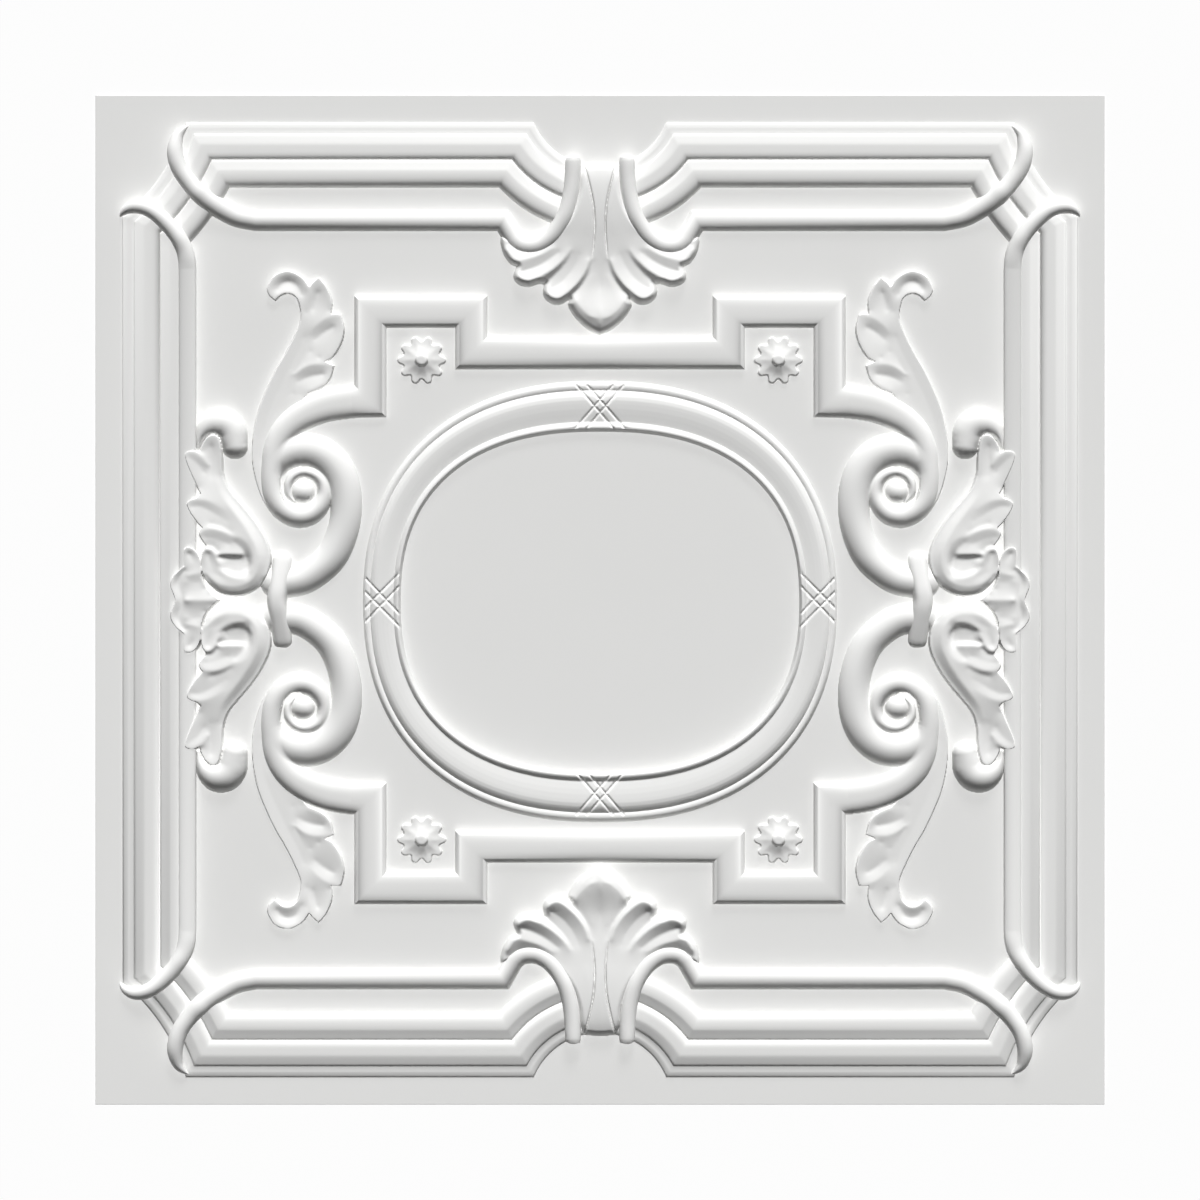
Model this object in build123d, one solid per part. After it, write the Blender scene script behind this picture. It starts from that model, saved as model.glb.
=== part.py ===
"""Wall panel vacuum-formed from one PVC sheet, with a classical relief on its face.

Millimetres. The back plane is z = 0, the face looks to +Z and +Y is the top of the panel.
The relief is the same about both centre lines, so one quarter (x > 0, y > 0) is modelled
and mirrored into the other three.
"""

import math
import os

from build123d import *

# Sheet
panel_side = 600.0
sheet = 1.0

# Border moulding, measured inwards from its outer line
border_inset = 16.0
border_step_width = 7.1
border_outer_bead_width = 15.3
border_inner_bead_width = 16.2
border_step_height = 2.2
border_outer_bead_height = 5.8
border_groove_height = 3.3
border_inner_bead_height = 6.6
dip_radius = 42.5
corner_run_x = 55.0
corner_run_y = 72.5
corner_radius = 113.0

# Round cords that lie along the border and hook over its corners
top_cord_drop = 74.6
top_cord_start_x = 59.0
top_cord_end_x = 207.0
top_cord_half_width = 6.2
top_cord_height = 6.5
side_cord_inset = 55.0
side_cord_end_y = 192.5
side_cord_half_width = 5.0
side_cord_height = 9.0
cord_hook_height = 10.5

# Strapwork band with its step up around the rosette
strap_half_width = 9.6
strap_height = 7.0
strap_low_y = 146.6
strap_high_y = 171.3
strap_step_x = 76.5
strap_end_x = 136.5
strap_return_y = 118.0
strap_foot_length = 14.0

# Volute that ends the strapwork, and the C-scroll that rises from the clasp
volute_height = 8.5
volute_half_width = 6.7
volute_tail_half_width = 3.6
volute_eye_radius = 7.4
c_scroll_half_width = 9.2
c_scroll_height = 8.0
clasp_x = 192.0
clasp_half_length = 28.0
clasp_half_width = 6.2
clasp_height = 11.0

# Oval frame in the middle
oval_half_x = 140.9
oval_half_y = 131.5
oval_open_half_x = 118.9
oval_open_half_y = 101.0
oval_corner_fullness = 2.35
oval_edge_height = 3.6
oval_band_height = 5.8

# Rosettes
rosette_x = 106.0
rosette_y = 142.5
rosette_radius = 14.0
rosette_height = 5.0
rosette_points = 10
rosette_button_radius = 3.9
rosette_button_height = 7.0

# Leaves
plume_height = 3.0
leaflet_height = 4.2
acanthus_height = 6.5
acanthus_lobe_height = 8.5
acanthus_curl_height = 9.5
palmette_neck_height = 8.5
palmette_lobe_height = 9.5
palmette_spear_height = 11.0

# How far one band runs into the next where they join
overlap = 0.5

half_side = panel_side / 2.0
outer_line = half_side - border_inset
border_width = border_step_width + border_outer_bead_width + border_inner_bead_width


def heading_vector(angle):
    """Unit vector in the sheet's plane for a heading in degrees."""
    return Vector(math.cos(math.radians(angle)), math.sin(math.radians(angle)), 0)


class Track:
    """Line in the sheet's plane, grown from tangent straights and arcs."""

    def __init__(self, x, y, heading):
        self.start = Vector(x, y, 0)
        self.first_heading = heading
        self.point = self.start
        self.heading = heading
        self.edges = []

    def straight(self, length):
        end = self.point + heading_vector(self.heading) * length
        self.edges.append(Edge.make_line(self.point, end))
        self.point = end
        return self

    def bend(self, radius, turn):
        """Arc of the given radius; a positive turn is to the left."""
        side = 90 if turn > 0 else -90
        centre = self.point + heading_vector(self.heading + side) * radius
        middle = centre - heading_vector(self.heading + side + turn / 2) * radius
        end = centre - heading_vector(self.heading + side + turn) * radius
        self.edges.append(Edge.make_three_point_arc(self.point, middle, end))
        self.point = end
        self.heading += turn
        return self

    def wire(self):
        return Wire(self.edges)

    def section_plane(self):
        """Plane across the start of the track: x to its left, y away from the wall."""
        across = heading_vector(self.first_heading + 90)
        return Plane(origin=self.start, x_dir=across, z_dir=heading_vector(self.first_heading))


def cushion(half_width, height):
    """Section of a raised band, from its foot in the sheet over a soft crown."""
    return [
        (-half_width, sheet / 2),
        (-half_width, sheet),
        (-0.72 * half_width, sheet + 0.72 * height),
        (-0.32 * half_width, sheet + height),
        (0.32 * half_width, sheet + height),
        (0.72 * half_width, sheet + 0.72 * height),
        (half_width, sheet),
        (half_width, sheet / 2),
    ]


def ridge(half_width, height):
    """Plainer section for the bands that curl, with one slope on each side of the crown."""
    return [
        (-half_width, sheet / 2),
        (-half_width, sheet),
        (-0.45 * half_width, sheet + height),
        (0.45 * half_width, sheet + height),
        (half_width, sheet),
        (half_width, sheet / 2),
    ]


def channel(half_width, height):
    """Section of the hollow that the forming leaves behind such a band."""
    return [
        (-half_width + 1.2 * sheet, -sheet),
        (-0.36 * half_width, height),
        (0.36 * half_width, height),
        (half_width - 1.2 * sheet, -sheet),
    ]


def along(track, outline):
    """Solid that a section sweeps along a track, with mitred corners."""
    section = track.section_plane() * make_face(Polyline(*outline, close=True))
    return sweep(section, path=track.wire(), transition=Transition.RIGHT)


def band(track, half_width, height):
    """Raised band along a track."""
    return along(track, cushion(half_width, height))


def curl(track, half_width, height):
    """Raised band along a track that curls."""
    return along(track, ridge(half_width, height))


def groove_behind(track, half_width, height):
    """Hollow behind a raised band."""
    return along(track, channel(half_width, height))


def shrunk(points, share):
    """The same points drawn in towards their middle."""
    middle_x = sum(x for x, y in points) / len(points)
    middle_y = sum(y for x, y in points) / len(points)
    return [(middle_x + share * (x - middle_x), middle_y + share * (y - middle_y)) for x, y in points]


def leaf(points, height, crown=0.72):
    """Leaf or lobe with drafted edges: its outline rises to a smaller copy of itself."""
    foot = Pos(0, 0, sheet / 2) * make_face(Polyline(*points, close=True))
    crest = Pos(0, 0, sheet + height) * make_face(Polyline(*shrunk(points, crown), close=True))
    return loft([foot.face(), crest.face()], ruled=True)


def boss(x, y, radius, height):
    """Small boss with drafted sides, seated in the sheet; sixteen facets stand for its round."""
    spots = [heading_vector(360 * index / 16) * radius for index in range(16)]
    return leaf([(x + spot.X, y + spot.Y) for spot in spots], height, 0.5)


def border_track():
    """Outer line of the border, from the dip over the palmette to the middle of the side."""
    dip_x = math.sqrt(dip_radius**2 - border_inset**2)
    dip_low = half_side - dip_radius
    middle_angle = math.atan2(dip_x, border_inset) / 2
    dip_middle = (dip_radius * math.sin(middle_angle), half_side - dip_radius * math.cos(middle_angle))
    corner_top = (half_side - corner_run_x, outer_line)
    corner_side = (outer_line, half_side - corner_run_y)
    edges = [
        ThreePointArc((0, dip_low), dip_middle, (dip_x, outer_line)),
        Line((dip_x, outer_line), corner_top),
        RadiusArc(corner_top, corner_side, -corner_radius),
        Line(corner_side, (outer_line, 0)),
    ]
    return Wire([item.edge() for item in edges])


def border_plane():
    """Section plane at the bottom of the dip, x measured inwards from the outer line."""
    return Plane(origin=(0, half_side - dip_radius, 0), x_dir=(0, -1, 0), z_dir=(-1, 0, 0))


def border_outline():
    """Face of the border moulding: a low step, then two beads with a groove between them."""
    groove = border_step_width + border_outer_bead_width
    points = [(0, 0), (0.37 * border_step_width, border_step_height), (border_step_width, border_step_height)]
    for share, level in ((0.16, 0.75), (0.36, 1.0), (0.75, 0.97)):
        points.append((border_step_width + share * border_outer_bead_width, level * border_outer_bead_height))
    points.append((groove, border_groove_height))
    for share, level in ((0.16, 0.8), (0.38, 1.0), (0.75, 0.9), (0.96, 0.5)):
        points.append((groove + share * border_inner_bead_width, level * border_inner_bead_height))
    points.append((border_width, 0))
    return [(inwards, sheet + height) for inwards, height in points]


def border():
    """Border moulding, mitred round the dip and the scooped corners."""
    outline = [(0, sheet / 2)] + border_outline() + [(border_width, sheet / 2)]
    section = border_plane() * make_face(Polyline(*outline, close=True))
    return sweep(section, path=border_track(), transition=Transition.RIGHT)


def border_hollow():
    """Hollow behind the two beads of the border."""
    groove = border_step_width + border_outer_bead_width
    outline = Polyline(
        (border_step_width + 1.6 * sheet, -sheet),
        (border_step_width + 1.6 * sheet, border_step_height),
        (border_step_width + 0.42 * border_outer_bead_width, border_outer_bead_height - 0.4 * sheet),
        (groove - 0.6 * sheet, border_groove_height - 0.7 * sheet),
        (groove + 0.6 * sheet, border_groove_height - 0.7 * sheet),
        (groove + 0.42 * border_inner_bead_width, border_inner_bead_height - 0.4 * sheet),
        (border_width - 0.22 * border_inner_bead_width, 0.45 * border_inner_bead_height),
        (border_width - 1.8 * sheet, -sheet),
        close=True,
    )
    section = border_plane() * make_face(outline)
    return sweep(section, path=border_track(), transition=Transition.RIGHT)


def top_cord_run():
    """Straight run of the top cord."""
    run_length = top_cord_end_x - top_cord_start_x
    return Track(top_cord_start_x, half_side - top_cord_drop, 0).straight(run_length)


def top_cord():
    """Cord under the border, from the palmette's neck to its hook over the corner."""
    y = half_side - top_cord_drop
    run = band(top_cord_run(), top_cord_half_width, top_cord_height)
    hook = Track(top_cord_end_x - overlap, y, 0).bend(48.0, 45).bend(36.0, 45).bend(16.0, 65)
    corner_hook = curl(hook, 0.85 * top_cord_half_width, cord_hook_height)
    loop = Track(top_cord_start_x + overlap, y, 180).bend(6.0, 58).bend(14.0, -58)
    loop.bend(25.0, -84).straight(30.0)
    neck_loop = curl(loop, 0.82 * top_cord_half_width, cord_hook_height)
    return [run, corner_hook, neck_loop]


def side_cord():
    """Cord on the inner line of the side border, hooking over the corner."""
    x = half_side - side_cord_inset
    run = band(Track(x, 0, 90).straight(side_cord_end_y), side_cord_half_width, side_cord_height)
    hook = Track(x, side_cord_end_y - overlap, 90).bend(45.0, -45).bend(26.0, -65)
    return [run, curl(hook, 0.95 * side_cord_half_width, cord_hook_height)]


def strap_track():
    """Strapwork centre line, from the panel's centre line to the volute."""
    track = Track(0, strap_low_y, 0)
    track.straight(strap_step_x)
    track.heading = 90
    track.straight(strap_high_y - strap_low_y)
    track.heading = 0
    track.straight(strap_end_x - strap_step_x)
    track.heading = -90
    track.straight(strap_high_y - strap_return_y)
    track.heading = 0
    track.straight(strap_foot_length)
    return track


def volute_neck_track():
    return Track(strap_end_x + strap_foot_length - overlap, strap_return_y, 0).bend(46.0, -62)


def volute_coil_track():
    neck = volute_neck_track()
    start = neck.point - heading_vector(neck.heading) * 4 * overlap
    coil = Track(start.X, start.Y, neck.heading).straight(4 * overlap)
    return coil.bend(40.0, -28).straight(6.0).bend(19.5, -90)


def volute_tail_track():
    coil = volute_coil_track()
    return Track(coil.point.X, coil.point.Y, coil.heading).bend(12.0, -90).bend(13.5, -90).bend(8.0, -80)


def c_scroll_track():
    return Track(clasp_x - 1.5, 9.5, 180).bend(39.0, -90).straight(14.0).bend(24.0, -122)


def scrolls():
    """Strapwork, its volute and the C-scroll, with the eye of the volute."""
    tail = volute_tail_track()
    eye = tail.point + heading_vector(tail.heading - 90) * volute_eye_radius
    return [
        band(strap_track(), strap_half_width, strap_height),
        band(volute_neck_track(), strap_half_width, strap_height),
        curl(volute_coil_track(), volute_half_width, volute_height),
        curl(tail, volute_tail_half_width, volute_height - 1.0),
        boss(eye.X, eye.Y, volute_eye_radius, volute_height),
        curl(c_scroll_track(), c_scroll_half_width, c_scroll_height),
    ]


def hollows():
    """Hollows that the forming leaves behind the wide forms of one quarter."""
    return [
        border_hollow(),
        groove_behind(top_cord_run(), top_cord_half_width, top_cord_height),
        groove_behind(strap_track(), strap_half_width, strap_height),
        groove_behind(volute_neck_track(), strap_half_width, strap_height),
        groove_behind(c_scroll_track(), c_scroll_half_width, c_scroll_height),
    ]


def clasp():
    """Half of the ring that ties the two C-scrolls and the side leaves together."""
    track = Track(clasp_x, 0, 90).straight(0.3 * clasp_half_length).bend(120.0, 9)
    return band(track, clasp_half_width, clasp_height)


def plume():
    """Plume on the volute: stem, curled tip and three leaflets."""
    stem = [
        (177.5, 172), (182.5, 153), (190.5, 137.5), (199.5, 121.5), (205.5, 106), (208, 86), (204.5, 68),
        (197, 52.5), (184, 45), (188, 62), (192, 84), (183, 104), (172, 122), (163, 142), (164, 166),
    ]
    tip = [
        (172.5, 186), (180, 193.5), (186, 195.5), (192.5, 193.5), (197, 185.5), (193, 178.5),
        (186, 182), (180.5, 179), (177.5, 167.5), (173, 170),
    ]
    upper = [(176, 167), (173.5, 180), (167, 192.5), (160.5, 184), (159.5, 171), (167, 162)]
    middle = [(173, 160), (166, 167.5), (157, 170), (152.5, 163), (155, 149), (163, 142), (172, 144)]
    lower = [(184, 132.5), (176, 139.5), (166, 142), (158, 139), (162, 128.5), (172, 122), (182, 124)]
    return [
        leaf(stem, plume_height, 0.86),
        leaf(tip, leaflet_height),
        leaf(upper, leaflet_height),
        leaf(middle, leaflet_height),
        leaf(lower, leaflet_height),
    ]


def acanthus():
    """Acanthus between the clasp and the side cord, with its comma curl and scalloped shell."""
    stem = [
        (224.5, 92), (223.5, 71), (214, 58), (203, 46.5), (196, 33.5), (195, 14), (206, 5), (221, 2.5),
        (234, 9), (240, 22), (236, 40), (238, 58), (236, 78), (231, 97),
    ]
    comma = [
        (240, 94), (238.5, 104), (231, 113), (222.5, 114), (214, 108), (209.5, 97), (213, 87.5),
        (221, 84.5), (225.5, 95), (231, 99),
    ]
    lobes = [
        [(232, 82), (239, 88.5), (246.5, 87.5), (244.5, 77), (239, 66), (229, 68)],
        [(223, 54), (231, 60.5), (240, 61.5), (245.5, 58.5), (243.5, 50), (236.5, 43.5), (225, 46)],
        [(216, 37.5), (225.5, 43), (233.5, 45), (238, 40), (236, 33), (224.5, 31)],
        [(238, 24), (243, 31), (248, 27), (254, 16), (255.5, 8), (253, -4), (240, -4), (236, 12)],
    ]
    made = [leaf(stem, acanthus_height, 0.84), leaf(comma, acanthus_curl_height, 0.66)]
    made.extend(leaf(points, acanthus_lobe_height) for points in lobes)
    made.append(boss(216.0, 20.0, 13.0, acanthus_lobe_height))
    return made


def palmette():
    """Half of the palmette that hangs under the dip of the border."""
    neck_top = half_side - dip_radius + 1.5
    fan = [
        (-12, neck_top), (12, neck_top), (17, 236), (26, 219), (42, 209), (58, 212), (55, 201),
        (44, 196), (30, 190), (14, 186), (-14, 186),
    ]
    lobes = [
        [(20, 214), (36, 205), (49, 200.5), (51.5, 193), (46, 187.5), (36, 188), (23, 197)],
        [(17, 205), (24.5, 196), (33.5, 187.5), (31, 178.5), (23, 176.5), (14, 185), (8, 198)],
    ]
    spear = [
        (-4, 214), (4, 214), (7, 197), (15, 183.5), (19.5, 176.5), (15, 167.5), (7, 160), (0, 157.5),
        (-7, 160), (-15, 167.5), (-19.5, 176.5), (-15, 183.5), (-7, 197),
    ]
    made = [leaf(fan, palmette_neck_height, 0.8), leaf(spear, palmette_spear_height)]
    made.extend(leaf(points, palmette_lobe_height) for points in lobes)
    return made


def rosette():
    """Scalloped rosette with a button, in the step of the strapwork."""
    corners = []
    for index in range(2 * rosette_points):
        reach = rosette_radius if index % 2 == 0 else 0.84 * rosette_radius
        spot = heading_vector(180 * index / rosette_points) * reach
        corners.append((rosette_x + spot.X, rosette_y + spot.Y))
    flower = leaf(corners, rosette_height, 0.45)
    return [flower, boss(rosette_x, rosette_y, rosette_button_radius, rosette_button_height)]


def oval_outline(half_x, half_y):
    """Full oval, squarer than an ellipse, through points on each quarter."""
    points = []
    for index in range(24):
        angle = 2 * math.pi * index / 24
        c, s = math.cos(angle), math.sin(angle)
        x = math.copysign(abs(c) ** (2 / oval_corner_fullness), c) * half_x
        y = math.copysign(abs(s) ** (2 / oval_corner_fullness), s) * half_y
        points.append((x, y))
    return make_face(Spline(*points, periodic=True))


def oval_ring(levels):
    """Ring between two ovals, built as stacked lofts: each level is (share of the width, height)."""
    reach_x = oval_half_x - oval_open_half_x
    reach_y = oval_half_y - oval_open_half_y
    rims = []
    for share, height in levels:
        rim = oval_outline(oval_half_x - share * reach_x, oval_half_y - share * reach_y)
        rims.append(Pos(0, 0, height) * rim)
    return rims


def oval_frame():
    """Oval frame: a low outer edge, then a broad band that falls to the opening."""
    shares = [(0.0, sheet / 2), (0.06, sheet + oval_edge_height), (0.26, sheet + oval_band_height)]
    outside = loft([rim.face() for rim in oval_ring(shares)], ruled=True)
    opening = [(1.0, sheet), (0.92, sheet + 0.7 * oval_band_height), (0.74, sheet + 2 * oval_band_height)]
    inside = loft([rim.face() for rim in oval_ring(opening)], ruled=True)
    return outside - inside


def oval_hollow():
    """Hollow behind the oval frame."""
    shares = [(0.09, -sheet), (0.12, oval_edge_height), (0.28, oval_band_height)]
    outside = loft([rim.face() for rim in oval_ring(shares)], ruled=True)
    opening = [(0.9, -2 * sheet), (0.86, 0.5 * oval_band_height), (0.68, 2 * oval_band_height)]
    inside = loft([rim.face() for rim in oval_ring(opening)], ruled=True)
    return outside - inside


def quarter():
    """One quarter of the panel, without the oval frame."""
    keep = Box(half_side, half_side, 60.0, align=(Align.MIN, Align.MIN, Align.CENTER))
    plate = Box(half_side, half_side, sheet, align=Align.MIN)
    forms = [border(), clasp()]
    for group in (top_cord(), side_cord(), scrolls(), plume(), acanthus(), palmette(), rosette()):
        forms.extend(group)
    body = plate.fuse(*forms)
    return (body & keep).cut(*hollows())


def panel():
    """Whole panel: four mirrored quarters and the oval frame."""
    right_top = quarter()
    top = right_top.fuse(mirror(right_top, about=Plane.YZ))
    whole = top.fuse(mirror(top, about=Plane.XZ))
    whole = whole.fuse(oval_frame()).cut(oval_hollow())
    return whole.clean()


os.makedirs("parts", exist_ok=True)
made = panel()
export_step(made.solid(), "parts/panel.step")
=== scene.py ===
"""Dress the PVC relief wall panel: its formed border, cords, strapwork, scrolls, leaves and oval frame.

The face is the same about both centre lines, so every form is laid out once, in millimetres, in the
quarter where both distances from the centre lines are positive, and Geometry Nodes mirror it.
"""

import logging
import math
from dataclasses import dataclass, field
from enum import Enum
from typing import Any, ClassVar, Sequence

import bmesh
import bpy
import numpy as np
from mathutils import Matrix, Vector


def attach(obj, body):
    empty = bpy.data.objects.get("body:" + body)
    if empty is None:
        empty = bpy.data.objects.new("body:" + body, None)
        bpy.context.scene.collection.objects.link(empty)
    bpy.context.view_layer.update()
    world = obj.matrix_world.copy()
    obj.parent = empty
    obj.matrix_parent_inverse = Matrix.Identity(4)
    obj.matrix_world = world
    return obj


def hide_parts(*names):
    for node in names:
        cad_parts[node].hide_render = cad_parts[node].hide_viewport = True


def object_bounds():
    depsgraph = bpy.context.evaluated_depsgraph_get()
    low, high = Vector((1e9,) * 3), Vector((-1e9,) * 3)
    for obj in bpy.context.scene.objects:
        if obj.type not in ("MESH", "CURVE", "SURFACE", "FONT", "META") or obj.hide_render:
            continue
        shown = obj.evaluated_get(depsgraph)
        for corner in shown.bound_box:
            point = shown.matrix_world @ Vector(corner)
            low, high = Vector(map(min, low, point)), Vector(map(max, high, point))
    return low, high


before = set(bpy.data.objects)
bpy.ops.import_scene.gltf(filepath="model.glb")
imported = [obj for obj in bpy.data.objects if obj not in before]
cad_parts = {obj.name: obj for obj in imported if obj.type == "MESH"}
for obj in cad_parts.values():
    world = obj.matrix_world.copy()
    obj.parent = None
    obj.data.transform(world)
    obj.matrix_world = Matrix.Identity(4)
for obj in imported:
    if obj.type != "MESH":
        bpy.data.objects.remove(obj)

CAD_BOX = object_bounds()
LOG = logging.getLogger("wall_panel")

MM = 0.001
BODY = "root"
NODE = "panel"
HALF_SIDE = round(float(CAD_BOX[1][0]) / MM, 2)
SHEET_THICKNESS = 1.0
WHITE = (1.0, 1.0, 1.0, 1.0)

Knot = tuple[float, ...]
Run = Sequence[Knot]


# Node expressions and finishes


class Value:
    """Node socket that takes part in Python arithmetic."""

    def __init__(self, kit: "NodeKit", socket: bpy.types.NodeSocket) -> None:
        self.kit = kit
        self.socket = socket

    def _math(self, operation: str, first: Any, second: Any) -> "Value":
        """Add one Math node on two values or numbers."""
        return self.kit.node("ShaderNodeMath", {"operation": operation}, {0: first, 1: second})

    def __add__(self, other: Any) -> "Value":
        """Sum of two values."""
        return self._math("ADD", self, other)

    def __radd__(self, other: Any) -> "Value":
        """Sum with a number on the left."""
        return self._math("ADD", other, self)

    def __sub__(self, other: Any) -> "Value":
        """Difference of two values."""
        return self._math("SUBTRACT", self, other)

    def __rsub__(self, other: Any) -> "Value":
        """Difference from a number on the left."""
        return self._math("SUBTRACT", other, self)

    def __mul__(self, other: Any) -> "Value":
        """Product of two values."""
        return self._math("MULTIPLY", self, other)

    def __rmul__(self, other: Any) -> "Value":
        """Product with a number on the left."""
        return self._math("MULTIPLY", other, self)


class NodeKit:
    """Node tree with one method that adds its nodes."""

    def __init__(self, tree: bpy.types.NodeTree) -> None:
        """Start the tree afresh."""
        self.tree = tree
        tree.nodes.clear()

    @classmethod
    def shading(cls, owner: bpy.types.Material | bpy.types.World) -> "NodeKit":
        """Start the tree of a material or a world."""
        owner.use_nodes = True
        return cls(owner.node_tree)

    def node(self, kind: str, settings: dict[str, Any], inputs: dict[Any, Any], output: Any = 0) -> Value:
        """Add a node.

        Args:
            kind: Blender's node type.
            settings: Attributes that are set before the sockets.
            inputs: Values or links by socket name or number; a list links several to one socket.
            output: Name or number of the wanted output.

        Returns:
            The wanted output as a value.
        """
        made = self.tree.nodes.new(kind)
        for name, setting in settings.items():
            setattr(made, name, setting)
        for key, given in inputs.items():
            for one in given if isinstance(given, list) else [given]:
                if isinstance(one, Value):
                    self.tree.links.new(one.socket, made.inputs[key])
                else:
                    made.inputs[key].default_value = one
        return Value(self, made.outputs[output] if len(made.outputs) else None)

    def white_to_view(self) -> Value:
        """Find the share of a backdrop that shows as plain white, to the camera and in gloss and glass.

        Returns:
            One for those rays and nothing for the rest.
        """
        names = ("Is Camera Ray", "Is Glossy Ray", "Is Transmission Ray")
        camera, glossy, through = (self.node("ShaderNodeLightPath", {}, {}, name) for name in names)
        return camera + glossy + through


@dataclass(frozen=True)
class PvcFinish:
    """Matt white PVC with the faint mottle and orange peel that forming leaves."""

    name: str = "formed_pvc"
    white: tuple[float, float, float, float] = (0.80, 0.80, 0.79, 1.0)
    shade: tuple[float, float, float, float] = (0.785, 0.785, 0.775, 1.0)
    roughness: float = 0.7
    roughness_swing: float = 0.08
    gloss: float = 0.25
    mottle_per_metre: float = 18.0
    mottle_detail: float = 4.0
    peel_per_metre: float = 900.0
    peel_detail: float = 2.0
    peel_strength: float = 0.02
    peel_depth: float = 0.0002

    def make(self) -> bpy.types.Material:
        """Build the material.

        Returns:
            The PVC material.
        """
        material = bpy.data.materials.new(self.name)
        kit = NodeKit.shading(material)
        place = kit.node("ShaderNodeTexCoord", {}, {}, "Object")
        mottle, peel = (
            kit.node("ShaderNodeTexNoise", {}, {"Vector": place, "Scale": scale, "Detail": detail}, "Fac")
            for scale, detail in (
                (self.mottle_per_metre, self.mottle_detail),
                (self.peel_per_metre, self.peel_detail),
            )
        )
        tints = {"Factor": mottle, "A": self.shade, "B": self.white}
        colour = kit.node("ShaderNodeMix", {"data_type": "RGBA"}, tints, "Result")
        rough = self.roughness - self.roughness_swing / 2 + self.roughness_swing * mottle
        dents = {"Strength": self.peel_strength, "Distance": self.peel_depth, "Height": peel}
        bump = kit.node("ShaderNodeBump", {}, dents, "Normal")
        surface = kit.node(
            "ShaderNodeBsdfPrincipled",
            {},
            {"Base Color": colour, "Roughness": rough, "Normal": bump, "Specular IOR Level": self.gloss},
        )
        kit.node("ShaderNodeOutputMaterial", {}, {"Surface": surface})
        return material


@dataclass(frozen=True)
class FloorFinish:
    """White floor that the camera sees as paper white, with the object's shadow kept on it."""

    name: str = "white_floor"
    glow_share: float = 0.85

    def make(self) -> bpy.types.Material:
        """Build the material.

        Returns:
            The floor material.
        """
        material = bpy.data.materials.new(self.name)
        kit = NodeKit.shading(material)
        plain = kit.node("ShaderNodeBsdfDiffuse", {}, {"Color": WHITE})
        white = kit.node("ShaderNodeEmission", {}, {"Color": WHITE, "Strength": 1.0})
        seen = kit.white_to_view() * self.glow_share
        surface = kit.node("ShaderNodeMixShader", {}, {0: seen, 1: plain, 2: white})
        kit.node("ShaderNodeOutputMaterial", {}, {"Surface": surface})
        return material


# Lines and sections of the relief


def blended(knots: Run, step: float, closed: bool = False) -> np.ndarray:
    """Pass a smooth line through knots, all columns together.

    Args:
        knots: Points with any number of columns, the first two being the place in millimetres.
        step: Greatest distance between the points made.
        closed: Whether the line runs back to its first knot.

    Returns:
        Points along the line, without a repeat of the first one when closed.
    """
    points = np.asarray(knots, float)
    count = len(points)
    if count == 2 and not closed:
        return points
    if closed:
        before, after = points[-1:], points[:2]
    else:
        before, after = 2 * points[:1] - points[1:2], 2 * points[-1:] - points[-2:-1]
    padded = np.vstack([before, points, after])
    made = []
    for index in range(count if closed else count - 1):
        a, b, c, d = padded[index:index + 4]
        pieces = max(2, math.ceil(np.hypot(*(c - b)[:2]) / step))
        t = np.linspace(0, 1, pieces, endpoint=False)[:, None]
        square, cube = 2 * a - 5 * b + 4 * c - d, 3 * b - a - 3 * c + d
        made.append(0.5 * (2 * b + (c - a) * t + square * t**2 + cube * t**3))
    if not closed:
        made.append(points[-1:])
    return np.vstack(made)


def linked(runs: Sequence[Run]) -> list[Run]:
    """Begin each run but the first with the knot where the one before it ends.

    Args:
        runs: Runs of knots; only the first one has its first knot.

    Returns:
        Runs that meet at corners.
    """
    return [runs[0]] + [[before[-1], *run] for before, run in zip(runs, runs[1:])]


def joined(runs: Sequence[Run], step: float, closed: bool = False) -> np.ndarray:
    """Join smooth runs that meet at corners.

    Args:
        runs: Runs of knots; each begins where the last one ends.
        step: Greatest distance between the points made.
        closed: Whether the last run ends at the first knot.

    Returns:
        Points along all the runs.
    """
    lines = [blended(run, step) for run in runs]
    rows = [line[:-1] for line in lines]
    if not closed:
        rows.append(lines[-1][-1:])
    return np.vstack(rows)


def mitres(place: np.ndarray, least: float = 0.3) -> np.ndarray:
    """Find the vectors to the left of a line, lengthened at its corners so that widths hold.

    Args:
        place: Points of the line.
        least: Limit that keeps a sharp corner's vector short.

    Returns:
        One vector for each point.
    """
    ahead = np.diff(place, axis=0)
    ahead /= np.linalg.norm(ahead, axis=1, keepdims=True)
    left = np.stack([-ahead[:, 1], ahead[:, 0]], axis=1)
    before, after = np.vstack([left[:1], left]), np.vstack([left, left[-1:]])
    share = 1 + np.sum(after * before, axis=1, keepdims=True)
    return (after + before) / np.maximum(share, least)


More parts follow.
